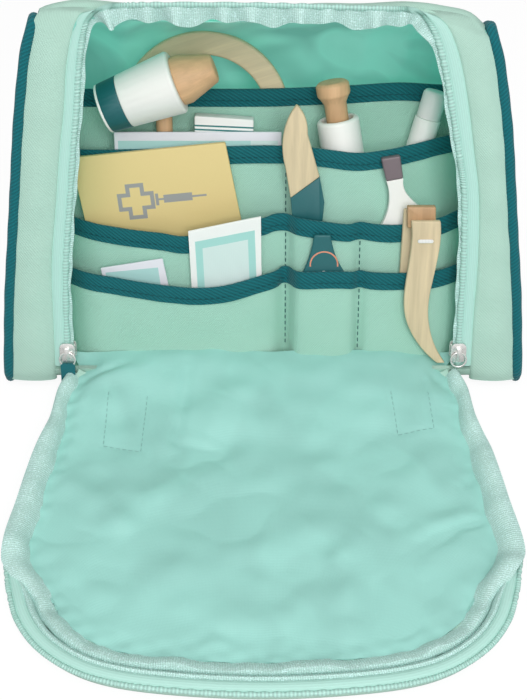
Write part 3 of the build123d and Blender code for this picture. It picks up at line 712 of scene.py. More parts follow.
def slumped(points):
    """The points, in metres, with the bag's right shoulder let down a little."""
    drop = 4.2 * eased((points[..., 0] / MM - 60) / 35) * eased((points[..., 2] / MM - 112) / 50)
    return points - drop[..., None] * MM * UP


def nearest(line, spot):
    """Number of the line's point that is nearest to a spot."""
    return int(np.argmin(np.hypot(*(line - spot).T)))


def side_line(start, end, count):
    """Stretch of the side profile between two of its places, as (y, z) in millimetres."""
    line = through(SIDE_LINE, 1200, closed=True)[:-1]
    first, last = nearest(line, start), nearest(line, end)
    if last < first:
        last += len(line)
    return even(line[np.arange(first, last + 1) % len(line)], count)


# Settings

def length_setting(name, description, default):
    """A length that a user may change."""
    return bpy.props.FloatProperty(
        name=name, description=description, default=default, subtype="DISTANCE", unit="LENGTH",
    )


def colour_setting(name, description, *levels):
    """A colour that a user may change."""
    return bpy.props.FloatVectorProperty(
        name=name, description=description, default=srgb(*levels), subtype="COLOR", size=3, min=0.0, max=1.0,
    )


class VetBagSizes(bpy.types.PropertyGroup):
    """Sizes of the cloth and trims."""

    cloth: length_setting("Cloth", "Thickness of the padded outer cloth", 0.0022)
    lining: length_setting("Lining", "Thickness of the lining", 0.0006)
    piping: length_setting("Piping", "Diameter of the piping", 0.005)
    binding: length_setting("Binding", "Depth of the binding on each pocket edge", 0.0085)
    tooth: length_setting("Tooth", "Distance between two teeth of the zip", 0.0016)
    puff: length_setting("Puff", "How far the padded sides stand out", 0.006)


class VetBagColours(bpy.types.PropertyGroup):
    """Colours of the cloth, trims and tools."""

    twill: colour_setting("Twill", "Outer cloth", 179, 215, 200)
    # The pocket cloth is darker than the twill, partly as painted shade of the bag's inside.
    pocket: colour_setting("Pocket cloth", "Twill of the organiser's pockets", 164, 210, 192)
    lining: colour_setting("Lining", "Satin lining", 168, 236, 220)
    flap_lining: colour_setting("Flap lining", "Satin lining of the flap", 160, 216, 206)
    binding: colour_setting("Binding", "Tape on the pocket edges", 0, 98, 105)
    piping: colour_setting("Piping", "Corded piping on the side seams", 6, 106, 114)
    seam: colour_setting("Seam tape", "Silvery tape on the inner seams", 188, 224, 216)
    zip_tape: colour_setting("Zip tape", "Tape and teeth of the zip", 180, 223, 212)
    pale_wood: colour_setting("Pale wood", "Ring, blade and tweezers", 217, 199, 163)
    warm_wood: colour_setting("Warm wood", "Nozzle and plunger", 222, 180, 136)
    white: colour_setting("White paint", "Painted wood", 238, 238, 233)
    teal: colour_setting("Teal paint", "Painted wood", 12, 92, 96)
    taupe: colour_setting("Taupe paint", "Tip of the thermometer", 112, 99, 104)
    ochre: colour_setting("Ochre card", "Cover of the booklet", 221, 200, 138)
    card: colour_setting("Mint card", "Cards", 168, 212, 208)


def sizes():
    """The sizes that are set."""
    return bpy.context.scene.vet_bag_sizes


def colours():
    """The colours that are set."""
    return bpy.context.scene.vet_bag_colours


# Cloths of the bag

def outer_twill():
    """Outer cloth: a fine diagonal twill."""
    return twill("mint_twill", colours().twill)


def pocket_twill():
    """The pockets' cloth: the same twill, a little darker and less red. The darkening is partly the cloth's own
    colour and partly painted shade, as the pockets sit deep in the bag.
    """
    return twill("pocket_twill", colours().pocket)


def twill(name, colour):
    """A fine diagonal twill."""
    return woven(
        name, colour, [(52, 0.95, 0.7), (-40, 0.75, 0.5)], relief_shading=0.055, depth=0.12, mottle=0.07,
        Roughness=0.85, Sheen_Weight=0.04, Sheen_Roughness=0.5,
    )


def satin(name, colour, fold_shade=0.0, **constants):
    """Thin lining with a satin sheen, and as much painted shade of soft folds as asked for."""
    return woven(
        name, colour, [(0, 0.7, 0.4), (90, 0.55, 0.4)], relief_shading=0.05, depth=0.05, mottle=0.08, fold_shade=fold_shade,
        Roughness=0.42, Sheen_Weight=0.2, Sheen_Roughness=0.35, **constants,
    )


def seam_tape():
    """Loosely woven tape with silvery threads, which are paler than the cloth and carry painted glints."""
    return woven(
        "silvery_tape", colours().seam, [(4, 1.0, 0.8), (88, 0.7, 0.3)], relief_shading=0.14, depth=0.2,
        mottle=0.10, silver_sparkle=0.8, Roughness=0.45, Sheen_Weight=0.15, Sheen_Roughness=0.3,
    )


def zip_cloth():
    """Smooth woven tape of the zip."""
    return woven(
        "zip_tape_cloth", colours().zip_tape, [(90, 0.9, 0.7)], relief_shading=0.07, depth=0.08, mottle=0.06,
        Roughness=0.6,
    )


def zip_nylon(pitch):
    """Nylon of the teeth, with painted shade in the gaps between two of them."""
    return woven(
        "zip_nylon", toned(colours().zip_tape, 0.92), [(0, pitch / MM, 0.9)], relief_shading=0.20, depth=0.05,
        mottle=0.05, Roughness=0.4, Coat_Weight=0.1,
    )


def thread(name, colour):
    """Sewing thread with its twist."""
    return woven(name, colour, [(38, 0.4, 1.0)], relief_shading=0.3, depth=0.08, mottle=0.05, Roughness=0.7)


def pale_thread():
    """Thread of the seams on mint cloth."""
    return thread("pale_thread", srgb(146, 190, 184))


# The stage

class VETBAG_OT_stage(bpy.types.Operator):
    """Set the floor, the lamps, the world and the camera"""

    bl_idname = "vet_bag.stage"
    bl_label = "Stage"

    def execute(self, context):
        """Makes everything that isn't part of the bag."""
        scene = context.scene
        scene.view_settings.view_transform = "Standard"
        self.floor(scene)
        self.world(scene)
        self.lamps(scene)
        self.camera(scene)
        return {"FINISHED"}

    def floor(self, scene):
        """A pale floor that the camera sees nearly white and that still takes shade."""
        reach, grey, glow_strength, glow_share = 4.0, 0.6, 1.12, 0.8
        corners = [(-reach, -reach, 0), (reach, -reach, 0), (reach, reach, 0), (-reach, reach, 0)]
        mesh = bpy.data.meshes.new("floor")
        mesh.from_pydata(corners, [], [(0, 1, 2, 3)])
        piece = bpy.data.objects.new("floor", mesh)
        scene.collection.objects.link(piece)
        finish = Finish("floor_white", Roughness=0.9)
        finish.colour((grey, grey, grey, 1.0))
        glow = finish.node("ShaderNodeEmission", {}, {"Color": WHITE, "Strength": glow_strength})
        seen = finish.node("ShaderNodeLightPath", {}, {}, "Is Camera Ray")
        body = Socket(finish, finish.shader.outputs[0])
        mixed = finish.node("ShaderNodeMixShader", {}, {0: seen * glow_share, 1: body, 2: glow})
        finish.feed(finish.tree.nodes["Material Output"].inputs["Surface"], mixed)
        mesh.materials.append(finish.material)

    def world(self, scene):
        """Soft light from all round, in front of a white background."""
        world = bpy.data.worlds.new("studio")
        world.use_nodes = True
        scene.world = world
        tree = Tree(world.node_tree)
        soft = tree.node("ShaderNodeBackground", {}, {"Color": WHITE, "Strength": 0.42})
        white = tree.node("ShaderNodeBackground", {}, {"Color": WHITE, "Strength": 1.0})
        camera, glossy, through_glass = (
            tree.node("ShaderNodeLightPath", {}, {}, f"Is {ray} Ray")
            for ray in ("Camera", "Glossy", "Transmission")
        )
        seen = camera.at_least(glossy).at_least(through_glass)
        output = tree.tree.nodes.new("ShaderNodeOutputWorld")
        mixed = tree.node("ShaderNodeMixShader", {}, {0: seen, 1: soft, 2: white})
        tree.feed(output.inputs["Surface"], mixed)

    def lamps(self, scene):
        """Two soft lamps, given by place, target, size in metres and power in watts."""
        for name, spot, target, size, power in (
            ("key_lamp", (0.16, -0.84, 0.70), (0, -0.03, 0.08), 0.5, 4.9),
            ("top_lamp", (-0.10, -0.55, 1.35), (0, -0.12, 0.0), 1.0, 6.0),
        ):
            lamp = bpy.data.lights.new(name, "AREA")
            lamp.size = size
            lamp.energy = power
            holder = bpy.data.objects.new(name, lamp)
            holder.location = spot
            holder.rotation_euler = (Vector(target) - Vector(spot)).to_track_quat("-Z", "Y").to_euler()
            scene.collection.objects.link(holder)

    def camera(self, scene):
        """The photograph's view, 45 degrees down."""
        camera = bpy.data.cameras.new("camera")
        camera.lens = 59.14
        camera.sensor_width = 36.0
        camera.clip_start = 0.01
        holder = bpy.data.objects.new("camera", camera)
        holder.location = (0.00025, -0.46205, 0.42067)
        holder.rotation_euler = (radians(45), 0.0, 0.0)
        scene.collection.objects.link(holder)
        scene.camera = holder


# The bag

def ridge_front():
    """The seam line between the front and the top, right to left, in metres."""
    reach, foot = 98.2, 160
    line = through(RIM, 900)[:, 6:]
    seam = line[(np.abs(line[:, 0]) <= reach) & (line[:, 1] > foot)]
    return even(slumped(place(*seam.T)), COLUMNS)[::-1]


def gusset(start, end, rows, front=None, sag=0.0, full=2, seed=0):
    """Grid of a panel across the bag between two places of its side line, seen from outside."""
    side = side_line(start, end, rows)
    u = np.linspace(-1, 1, COLUMNS)
    r = np.linspace(0, 1, rows)[:, None]
    width = half_width(side[:, 1]) - 0.6
    y, z = (np.repeat(side[:, axis, None], COLUMNS, 1) for axis in (0, 1))
    grid = slumped(np.stack((width[:, None] * u, y, z), 2) * MM)
    if front is not None:
        grid = grid + (front - grid[0])[None] * ((1 - r) ** 2.2)[..., None]
    out = unit(np.stack((np.zeros(rows), np.gradient(side[:, 1]), -np.gradient(side[:, 0])), 1))
    if out[rows // 2] @ np.array((0, 0.02, 0.09)) < 0:
        out = -out
    crown = (1 - np.abs(u) ** full) * np.sin(pi * r) ** 0.7
    x, around = grid[..., 0] / MM, grid[..., 2] / MM + grid[..., 1] / MM
    puff = sag * crown + 0.7 * waves(x, around, (60, 34), seed) * crown**0.4
    return grid + out[:, None] * puff[..., None] * MM


def top_grid():
    """Grid of the bag's top, from the seam at its front to the seam of the back."""
    return gusset(RIDGE_CORNER, BACK_SEAM, 40, ridge_front(), sag=5.0, full=9, seed=5)


def side_runs(line):
    """A closed side line's front and rear: the heights from its lowest point to its top, and their y."""
    line = np.roll(line, -int(np.argmin(line[:, 1])), axis=0)
    top = int(np.argmax(line[:, 1]))
    return [(np.maximum.accumulate(run[:, 1]), run[:, 0]) for run in (line[: top + 1], line[top:][::-1])]


def end_grid(runs, z, c):
    """y, height and length from front to rear of an end panel, at heights z and shares c of the way back."""
    front, rear = (np.interp(z, *run)[:, None] for run in runs)
    return front * (1 - c) + rear * c, np.repeat(z[:, None], len(c), 1), rear - front


def frame_grid(count, shares):
    """Rows of the rim, and a grid from the zip's seam to the frame's outer edge at shares of the way."""
    line = through(RIM, count)
    seam, outer = place(*line[:, :3].T), slumped(place(*line[:, 6:].T))
    t = np.asarray(shares)[None, :, None]
    return line, seam[:, None] * (1 - t) + outer[:, None] * t


class VETBAG_OT_shell(bpy.types.Operator):
    """Make the padded outer cloth"""

    bl_idname = "vet_bag.shell"
    bl_label = "Outer cloth"

    def execute(self, context):
        """Lofts the front, top, back, base and sides as cloth that sags."""
        thick = sizes().cloth
        self.front(thick * 0.8)
        base = gusset(BACK_FOOT, FRONT_FOOT, 44, seed=7)
        base[..., 2] = np.maximum(base[..., 2], FLOOR_GAP * MM)
        back = gusset(BACK_SEAM, BACK_FOOT, 44, sag=-1.4, seed=6)
        for name, grid in (("top", top_grid()), ("back", back), ("base", base)):
            sewn(f"{name}_cloth", sheeted(grid, thick, grid - MIDDLE), outer_twill(), f"{name}_panel")
        self.sides(thick)
        return {"FINISHED"}

    def front(self, thick):
        """The frame round the opening, from its seam out to the pipings and the ridge."""
        tucked = 1.2
        t = np.array((0.0, 0.03, 0.09, 0.18, 0.3, 0.44, 0.58, 0.72, 0.85, 0.94, 1.0))
        line, grid = frame_grid(361, t)
        head = np.clip((line[:, 1] - 150) / 24, 0, 1)[:, None]
        crown = np.sin(pi * t ** 0.85) * (2.2 - 1.2 * head)
        ripple = 0.6 * waves(grid[..., 0] / MM, grid[..., 2] / MM, (38, 21), 3) * np.sin(pi * t)
        lift = (crown + ripple - tucked * (t == 0)) * MM
        grid = grid + lift[..., None] * unit(OUT + 0.7 * UP * head[..., None])
        sewn("front_cloth", sheeted(grid, thick, OUT), outer_twill(), "front_frame")

    def sides(self, thick):
        """The padded end panels, which stand out between their pipings."""
        runs = side_runs(through(SIDE_LINE, 1200, closed=True)[:-1])
        low, high = runs[0][0][0], runs[0][0][-1]
        z = low + (high - low) * (0.5 - 0.5 * np.cos(pi * np.linspace(0.03, 0.985, 64)))
        c = 0.5 - 0.5 * np.cos(pi * np.linspace(0, 1, 41))
        y, z, length = end_grid(runs, z, c)
        wide = np.clip(length / 60, 0, 1)
        height = np.clip((z - 2.5) / 172, 0, 1)
        bulge = np.sin(pi * c) ** 0.6 * wide * np.sin(pi * height ** 0.62) ** 0.5
        for side, name in ((-1, "left"), (1, "right")):
            folds = waves(y, z, (52, 31), 11 + side) * np.sin(pi * c) * wide
            x = half_width(z) - 1.0 + bulge * sizes().puff / MM + 0.9 * folds
            grid = slumped(np.stack((side * x, y, z), 2) * MM)
            rings = sheeted(grid, thick, side * ACROSS)
            sewn(f"side_cloth_{name}", rings, outer_twill(), f"side_panel_{name}")


class VETBAG_OT_piping(bpy.types.Operator):
    """Make the corded piping of both side seams"""

    bl_idname = "vet_bag.piping"
    bl_label = "Piping"

    def execute(self, context):
        """Runs a round cord, a little uneven, along each side line."""
        finish = woven(
            "piping_cloth", colours().piping, [(33, 1.5, 1.0), (-60, 0.7, 0.3)], relief_shading=0.22, depth=0.25,
            mottle=0.1, Roughness=0.75, Sheen_Weight=0.1,
        )
        line = through(SIDE_LINE, 321, closed=True)[:-1]
        run = np.arange(len(line)) * 0.35
        radius = sizes().piping / 2 * (1 + 0.03 * np.sin(run * 1.7) + 0.02 * np.sin(run * 0.63))
        for side, name in ((-1, "left"), (1, "right")):
            path = slumped(np.stack((side * half_width(line[:, 1]), line[:, 0], line[:, 1]), 1) * MM)
            ahead = unit(np.roll(path, -1, axis=0) - np.roll(path, 1, axis=0))
            out = unit(np.cross(ahead, ACROSS))
            lift = unit(np.cross(out, ahead))
            rings = swept(path, oval(2, 2, 14)[None] * radius[:, None, None], out, lift)
            sewn(f"piping_cord_{name}", rings, finish, f"piping_{name}", closed=True)
        return {"FINISHED"}


def rim_lines():
    """The opening's seam and teeth from the right foot over the head, and the tape's own directions."""
    line = through(RIM, 1400)
    line = even(line[line[:, 1] > 1.0], 520)
    seam, teeth = place(*line[:, :3].T), place(*line[:, 3:6].T)
    ahead = unit(np.gradient(teeth, axis=0))
    side = unit(teeth - seam)
    lift = unit(np.cross(ahead, side))
    lift = lift * np.sign(lift[0] @ OUT)
    inward = unit(np.cross(ahead, OUT))
    return line, seam, teeth, side, lift, inward * np.sign(inward[0] @ -ACROSS)


def toothed(name, path, side, lift, width, height, node):
    """A row of nylon teeth along a path: one loft that swells at each tooth."""
    reach = np.linalg.norm(np.diff(path, axis=0), axis=1).sum()
    count = int(reach / sizes().tooth)
    steps = even(np.concatenate((path, side, lift), axis=1), 4 * count + 1)
    swell = np.tile((0.5, 1.0, 1.0, 0.5), count + 1)[: 4 * count + 1, None, None]
    section = oval(width, height, 10)[None] * (0.5 + 0.5 * swell)
    rings = swept(steps[:, :3], section, unit(steps[:, 3:6]), unit(steps[:, 6:]))
    sewn(name, rings, zip_nylon(reach / count), node)


class VETBAG_OT_opening_zip(bpy.types.Operator):
    """Make the zip tape, its teeth and the silvery seam tape round the opening"""

    bl_idname = "vet_bag.opening_zip"
    bl_label = "Opening zip"

    def execute(self, context):
        """Sweeps each strip along the opening's seam."""
        line, seam, teeth, side, lift, inward = rim_lines()
        wide = np.linalg.norm(teeth - seam, axis=1)[:, None, None] / MM / 6.0
        tape = np.array(ZIP_TAPE) * np.concatenate((wide, np.ones_like(wide)), axis=2)
        sewn("zip_tape_strip", swept(seam, tape * MM, side, lift), zip_cloth(), "zip_tape")
        toothed("zip_teeth_row", teeth - lift * 0.5 * MM, side, lift, 0.0034, 0.0026, "zip_coil")

        self.hung_tape(line, teeth, teeth - lift * 1.3 * MM, inward)
        return {"FINISHED"}

    def hung_tape(self, line, teeth, root, inward):
        """The silvery tape that hangs inside the seam, longest and most ruffled at the opening's head."""
        hang, head_hang, head_lean = 2.9, 4.2, 1.2
        head = (eased((80 - np.abs(line[:, 3])) / 12) * (line[:, 4] > 140))[:, None]
        run = np.cumsum(np.linalg.norm(np.gradient(teeth, axis=0), axis=1))[:, None] / MM
        ruffle = 0.6 * np.sin(run / 1.75) + 0.6 * np.sin(run / 2.7 + 1.3) + 0.5 * np.sin(run / 4.6)
        scallop = 0.8 * np.sin(run / 2.9 + 0.5) + 0.9 * np.sin(run / 6.1)
        drop = hang + head_hang * head + scallop * (0.3 + 0.9 * head)
        rows = []
        for r in np.linspace(0, 1, 10):
            lean = head_lean * r * head + ruffle * (0.3 + r) * (0.35 + 1.7 * head)
            rows.append(root + inward * (drop * r * MM) - OUT * (lean * MM))
        sewn("seam_tape_inside", sheeted(np.stack(rows, 1), SEAM_TAPE, OUT), seam_tape(), "seam_allowance")


class VETBAG_OT_lining(bpy.types.Operator):
    """Make the lining inside the bag"""

    bl_idname = "vet_bag.lining"
    bl_label = "Inner lining"

    def execute(self, context):
        """Lofts a thin loose sack inside the outer cloth."""
        # Painted light: the lining glows faintly, standing in for light that comes through the thin cloth and
        # bounces about inside the bag.
        glow = (0.035, 0.15, 0.125, 1.0)
        # The lining's satin gets strong painted shade of soft folds.
        finish = satin("lining_satin", colours().lining, 0.8, Emission_Color=glow, Emission_Strength=1.0)
        inner = through(SIDE_LINE, 1200, closed=True)[:-1]
        ahead = unit(np.roll(inner, -4, axis=0) - np.roll(inner, 4, axis=0))
        inner = inner + np.stack((ahead[:, 1], -ahead[:, 0]), 1) * LINING_GAP
        self.back(inner, finish)
        self.front(finish)
        self.sides(inner, finish)
        return {"FINISHED"}

    def back(self, inner, finish):
        """The long panel over the floor, up the back and under the top, to the seam at the opening's head."""
        rows = 150
        start = nearest(inner, (-40, 5))
        count = (start - nearest(inner, (-6, 162))) % len(inner)
        back = even(inner[(start - np.arange(count)) % len(inner)], rows)
        u = np.linspace(-1, 1, 121)
        r = np.linspace(0, 1, rows)[:, None]
        narrowed = 15
        width = half_width(back[:, 1]) - LINING_GAP - narrowed * eased((r[:, 0] - 0.9) / 0.1)
        x = width[:, None] * u
        out = unit(np.stack((np.gradient(back[:, 1]), -np.gradient(back[:, 0])), 1))
        if np.sum(out[rows // 2] * (np.array((0, 90)) - back[rows // 2])) < 0:
            out = -out
        loose = np.clip((back[:, 1:] - 70) / 60, 0, 1) * (1 - eased((r - 0.87) / 0.12))
        fold = creases(x, r * 100, LINING_FOLDS) + 2.0 * waves(x, r * 130, (46, 24), 21)
        slack = (1.4 + 0.5 * fold) * loose * (1 - np.abs(u) ** 8)
        grid = np.stack((x, back[:, :1] + out[:, :1] * slack, back[:, 1:] + out[:, 1:] * slack), 2) * MM
        brow = through(RIM, 900)[:, :3]
        brow = brow[brow[:, 1] > 166.5]
        brow = even(place(brow[:, 0] * 0.97, brow[:, 1] - 1.2, brow[:, 2] + 1.6)[::-1], len(u))
        grid = grid + eased((r - 0.78) / 0.22)[..., None] * (brow - grid[-1])
        self.keep_under_top(grid, u)
        sewn("lining_back", sheeted(grid, sizes().lining, MIDDLE - grid), finish, "interior_lining")

    def keep_under_top(self, grid, u):
        """Lowers the grid's points that would come through the sagging top cloth or the zip before it."""
        roof, gap, zip_h, zip_d = top_grid(), 4.2 * MM, 170.2, 4.6
        for column, share in enumerate(u):
            k = int(round((share + 1) * (COLUMNS // 2)))
            edge = place(roof[0, k, 0] / MM, zip_h, zip_d)[None]
            y, z = np.concatenate((edge, roof[:, k]))[:, 1:].T
            grid[:, column, 2] = np.minimum(grid[:, column, 2], np.interp(grid[:, column, 1], y, z) - gap)

    def front(self, finish):
        """The lining behind the frame of the opening."""
        gap = 3.2 * MM
        line, grid = frame_grid(241, np.linspace(0.04, 0.78, 8))
        head = eased((line[:, 1] - 150) / 22)[:, None]
        below = (OUT * (1 - head) + LEAN * head) * gap
        rings = sheeted(grid - below[:, None], sizes().lining, -OUT)
        sewn("lining_front", rings, finish, "interior_lining", stands_for=False)

    def sides(self, inner, finish):
        """The lining of both end panels."""
        runs = side_runs(inner)
        c = np.linspace(0, 1, 50)
        y, z, _ = end_grid(runs, np.linspace(runs[0][0][0] + 0.5, runs[0][0][-1] - 1.0, 70), c)
        for side, name in ((-1, "left"), (1, "right")):
            fold = 1.2 * waves(y, z, (40, 22), 31 + side) * np.sin(pi * c)
            x = half_width(z) - 4.4 + np.clip(fold, -1.5, 1.0)
            rings = sheeted(np.stack((side * x, y, z), 2) * MM, sizes().lining, -side * ACROSS)
            sewn(f"lining_{name}", rings, finish, "interior_lining", stands_for=False)


def tier_depth(tier, x):
    """Depth of a tier's face behind the opening, in millimetres."""
    return level(TIERS[tier]["plan"], x)


def tier_grid(tier, drops, proud=0.0):
    """Grid on a tier's face, with rows this far below its top edge; the last row may be 'foot'."""
    across = np.linspace(-123, 123, 165)
    top = level(TIERS[tier]["top"], across)
    depth = tier_depth(tier, across)
    foot = (3.4 - HINGE_RISE + DEPTH_FALL * depth) / LEAN_RISE
    h = np.stack([foot if drop == "foot" else np.maximum(top - drop, foot) for drop in drops])
    limit = half_width(HINGE_RISE + LEAN_RISE * h - DEPTH_FALL * depth) - 5.2
    straight, rest = 88, 35
    bent = np.sign(across) * (straight + (np.abs(across) - straight) * (limit - straight) / rest)
    x = np.where(np.abs(across) > straight, bent, across)
    return x, h, np.broadcast_to(depth - proud, h.shape), across, top


def tier_line(tier, drop, proud):
    """One row of a tier's grid, as x, h and d."""
    x, h, d, _, _ = tier_grid(tier, [drop], proud)
    return x[0], h[0], d[0]


class VETBAG_OT_organiser(bpy.types.Operator):
    """Make the backing and the four stepped pocket tiers with their bindings and stitching"""

    bl_idname = "vet_bag.organiser"
    bl_label = "Pockets"

    def execute(self, context):
        """Lofts each tier along its plan line."""
        binding = woven(
            "binding_cloth", colours().binding, [(58, 1.5, 1.0), (-35, 0.8, 0.35)], relief_shading=0.28, depth=0.2,
            mottle=0.12, Roughness=0.7, Sheen_Weight=0.12,
        )
        dark = thread("teal_thread", srgb(8, 74, 80))
        self.backing()
        for tier in TIERS:
            self.pocket(tier)
            self.binding(tier, binding, dark)
        for seam, tiers in POCKET_SEAMS.items():
            for tier in tiers:
                self.seam(seam, tier, dark)
        return {"FINISHED"}

    def backing(self):
        """The cloth behind all pockets."""
        depth = 54
        h = np.linspace(14, 117.5, 40)
        x = np.linspace(-1, 1, 81)
        width = half_width(HINGE_RISE + LEAN_RISE * h - DEPTH_FALL * depth) - 5.5
        h = h[:, None]
        grid = place(x * width[:, None], h, depth + 0.4 * waves(x * 100, h, (60, 35), 41))
        sewn("organiser_back", sheeted(grid, POCKET_CLOTH, OUT), pocket_twill(), "organiser_backing")

    def pocket(self, tier):
        """A tier's cloth, drawn in at the stitched seams that part its pockets."""
        drops = [0.6, 4, 8, 12, *np.linspace(16, 150, 46), "foot"]
        x, h, d, across, top = tier_grid(tier, drops)
        body = np.clip((top - h) / 30, 0, 1)
        puff = 0.5 * waves(x, h, (42, 23), 50 + tier) * body
        for seam, tiers in POCKET_SEAMS.items():
            if tier in tiers:
                puff = puff - 1.0 * np.exp(-((across - seam) / 2.2) ** 2) * body
        grid = place(x, h, d - np.clip(puff, -1.4, 0.45))
        sewn(f"pocket_cloth_{tier}", sheeted(grid, POCKET_CLOTH, OUT), pocket_twill(), f"pocket_tier_{tier}")

    def binding(self, tier, binding, dark):
        """The tape folded over a tier's top edge, and its row of stitches."""
        deep = sizes().binding / MM
        across = tier_grid(tier, [0])[3]
        wavy = 0.16 * np.sin(across / 5.3 + tier) + 0.12 * np.sin(across / 2.9)
        section = [
            (deep, 0.0), (deep - 0.2, 0.75), (deep * 0.6, 0.95), (2.0, 0.9), (0.5, 0.75), (-0.15, 0.0),
            (-0.2, -0.8), (0.4, -1.6), (2.0, -1.95), (deep * 0.6, -1.9), (deep - 0.3, -1.75), (deep, -1.2),
        ]
        rows = []
        for drop, proud in section:
            x, h, d = tier_line(tier, drop, proud)
            rows.append(place(x, h, d - wavy * (proud > 0.1)))
        node = f"pocket_binding_{tier}"
        sewn(f"binding_tape_{tier}", np.stack(rows, 1), binding, node)
        line = place(*tier_line(tier, deep * 0.62, 1.02))[4:-4]
        dressed(gathered(f"binding_stitches_{tier}", stitches(line, OUT, 1.9, 1.0)), dark, node)

    def seam(self, seam, tier, dark):
        """The upright stitches that part two pockets of a tier, down to the tier before it."""
        top = float(level(TIERS[tier]["top"], seam))
        cover = float(level(TIERS[tier + 1]["top"], seam)) - 6 if tier + 1 in TIERS else 6.0
        h = np.linspace(top - sizes().binding / MM - 0.5, cover, 40)
        line = even(place(seam + (h - top) * -0.004, h, float(tier_depth(tier, seam)) - 0.55), 40)
        stitched = gathered(f"pocket_stitches_{int(seam)}_{tier}", stitches(line, OUT, 2.2, 1.0, 0.4))
        dressed(stitched, dark, f"pocket_tier_{tier}")


def band_width(reach):
    """Width of the flap's rim with its flopped seam tape at a distance from the hinge, in millimetres."""
    ragged = 0.45 * np.sin(reach / 4.1) + 0.35 * np.sin(reach / 7.3 + 1)
    return np.interp(reach, *zip(*BAND)) + ragged * eased(reach / 12)


def lining_inset(reach):
    """How far inside the flap's outline its lining comes out from under the seam tape, in millimetres."""
    return band_width(reach) - 1.4


def flap_line(inset, count):
    """The flap's outline from right foot to left foot, in metres on the floor, and its inward way."""
    side = FLAP_SIDE + [(-x, y) for x, y in reversed(FLAP_SIDE[:-1])]
    line = through(side, 1400)
    ahead = unit(np.gradient(line, axis=0))
    inward = np.stack((-ahead[:, 1], ahead[:, 0]), 1)
    inward = inward * np.sign(np.sum(inward * (np.array((0, 80)) - line), axis=1))[:, None]
    line = line + inward * (inset(line[:, 1])[:, None] if callable(inset) else inset)
    spot = np.stack((line[:, 0] * MM, HINGE[1] - line[:, 1] * MM, np.zeros(len(line))), 1)
    toward = np.stack((inward[:, 0], -inward[:, 1], np.zeros(len(line))), 1)
    mixed = even(np.concatenate((spot, toward), axis=1), count)
    return mixed[:, :3], unit(mixed[:, 3:])


def flap_reach(points):
    """Distance of points of the flap from its hinge, in millimetres."""
    return (HINGE[1] - points[..., 1]) / MM


def flap_patch(inset, count, near=0.6, far=130):
    """Grid over the flap's floor inside its outline, with foot at the hinge."""
    line, _ = flap_line(inset, 1201)
    ends = np.nonzero(flap_reach(line) > far)[0]
    right, left = line[: ends[0] + 1], line[ends[-1]:][::-1]
    foot_y = HINGE[1] - near * MM
    right, left = (even(run[run[:, 1] < foot_y], count) for run in (right, left))
    head = even(line[ends[0]: ends[-1] + 1][::-1], count)
    foot = even(np.stack((left[0], right[0])), count)
    return patch(foot, head, left, right)


def flap_rim():
    """The rim's path on the floor, its inward way, its reach, and its share of the side's shape."""
    path, inward = flap_line(0.0, 420)
    keep = flap_reach(path) > 0.5
    path, inward = path[keep], inward[keep]
    reach = flap_reach(path)
    return path, inward, reach, 1 - eased((reach - 112) / 26)[:, None, None]


def rim_distance(grid, inset):
    """Distance of each point of the flap from its rim, in millimetres."""
    line, _ = flap_line(inset, 240)
    flat = grid.reshape(-1, 3)[:, :2]
    away = np.min(np.linalg.norm(flat[:, None] - line[None, :, :2], axis=2), axis=1)
    return away.reshape(grid.shape[:2]) / MM


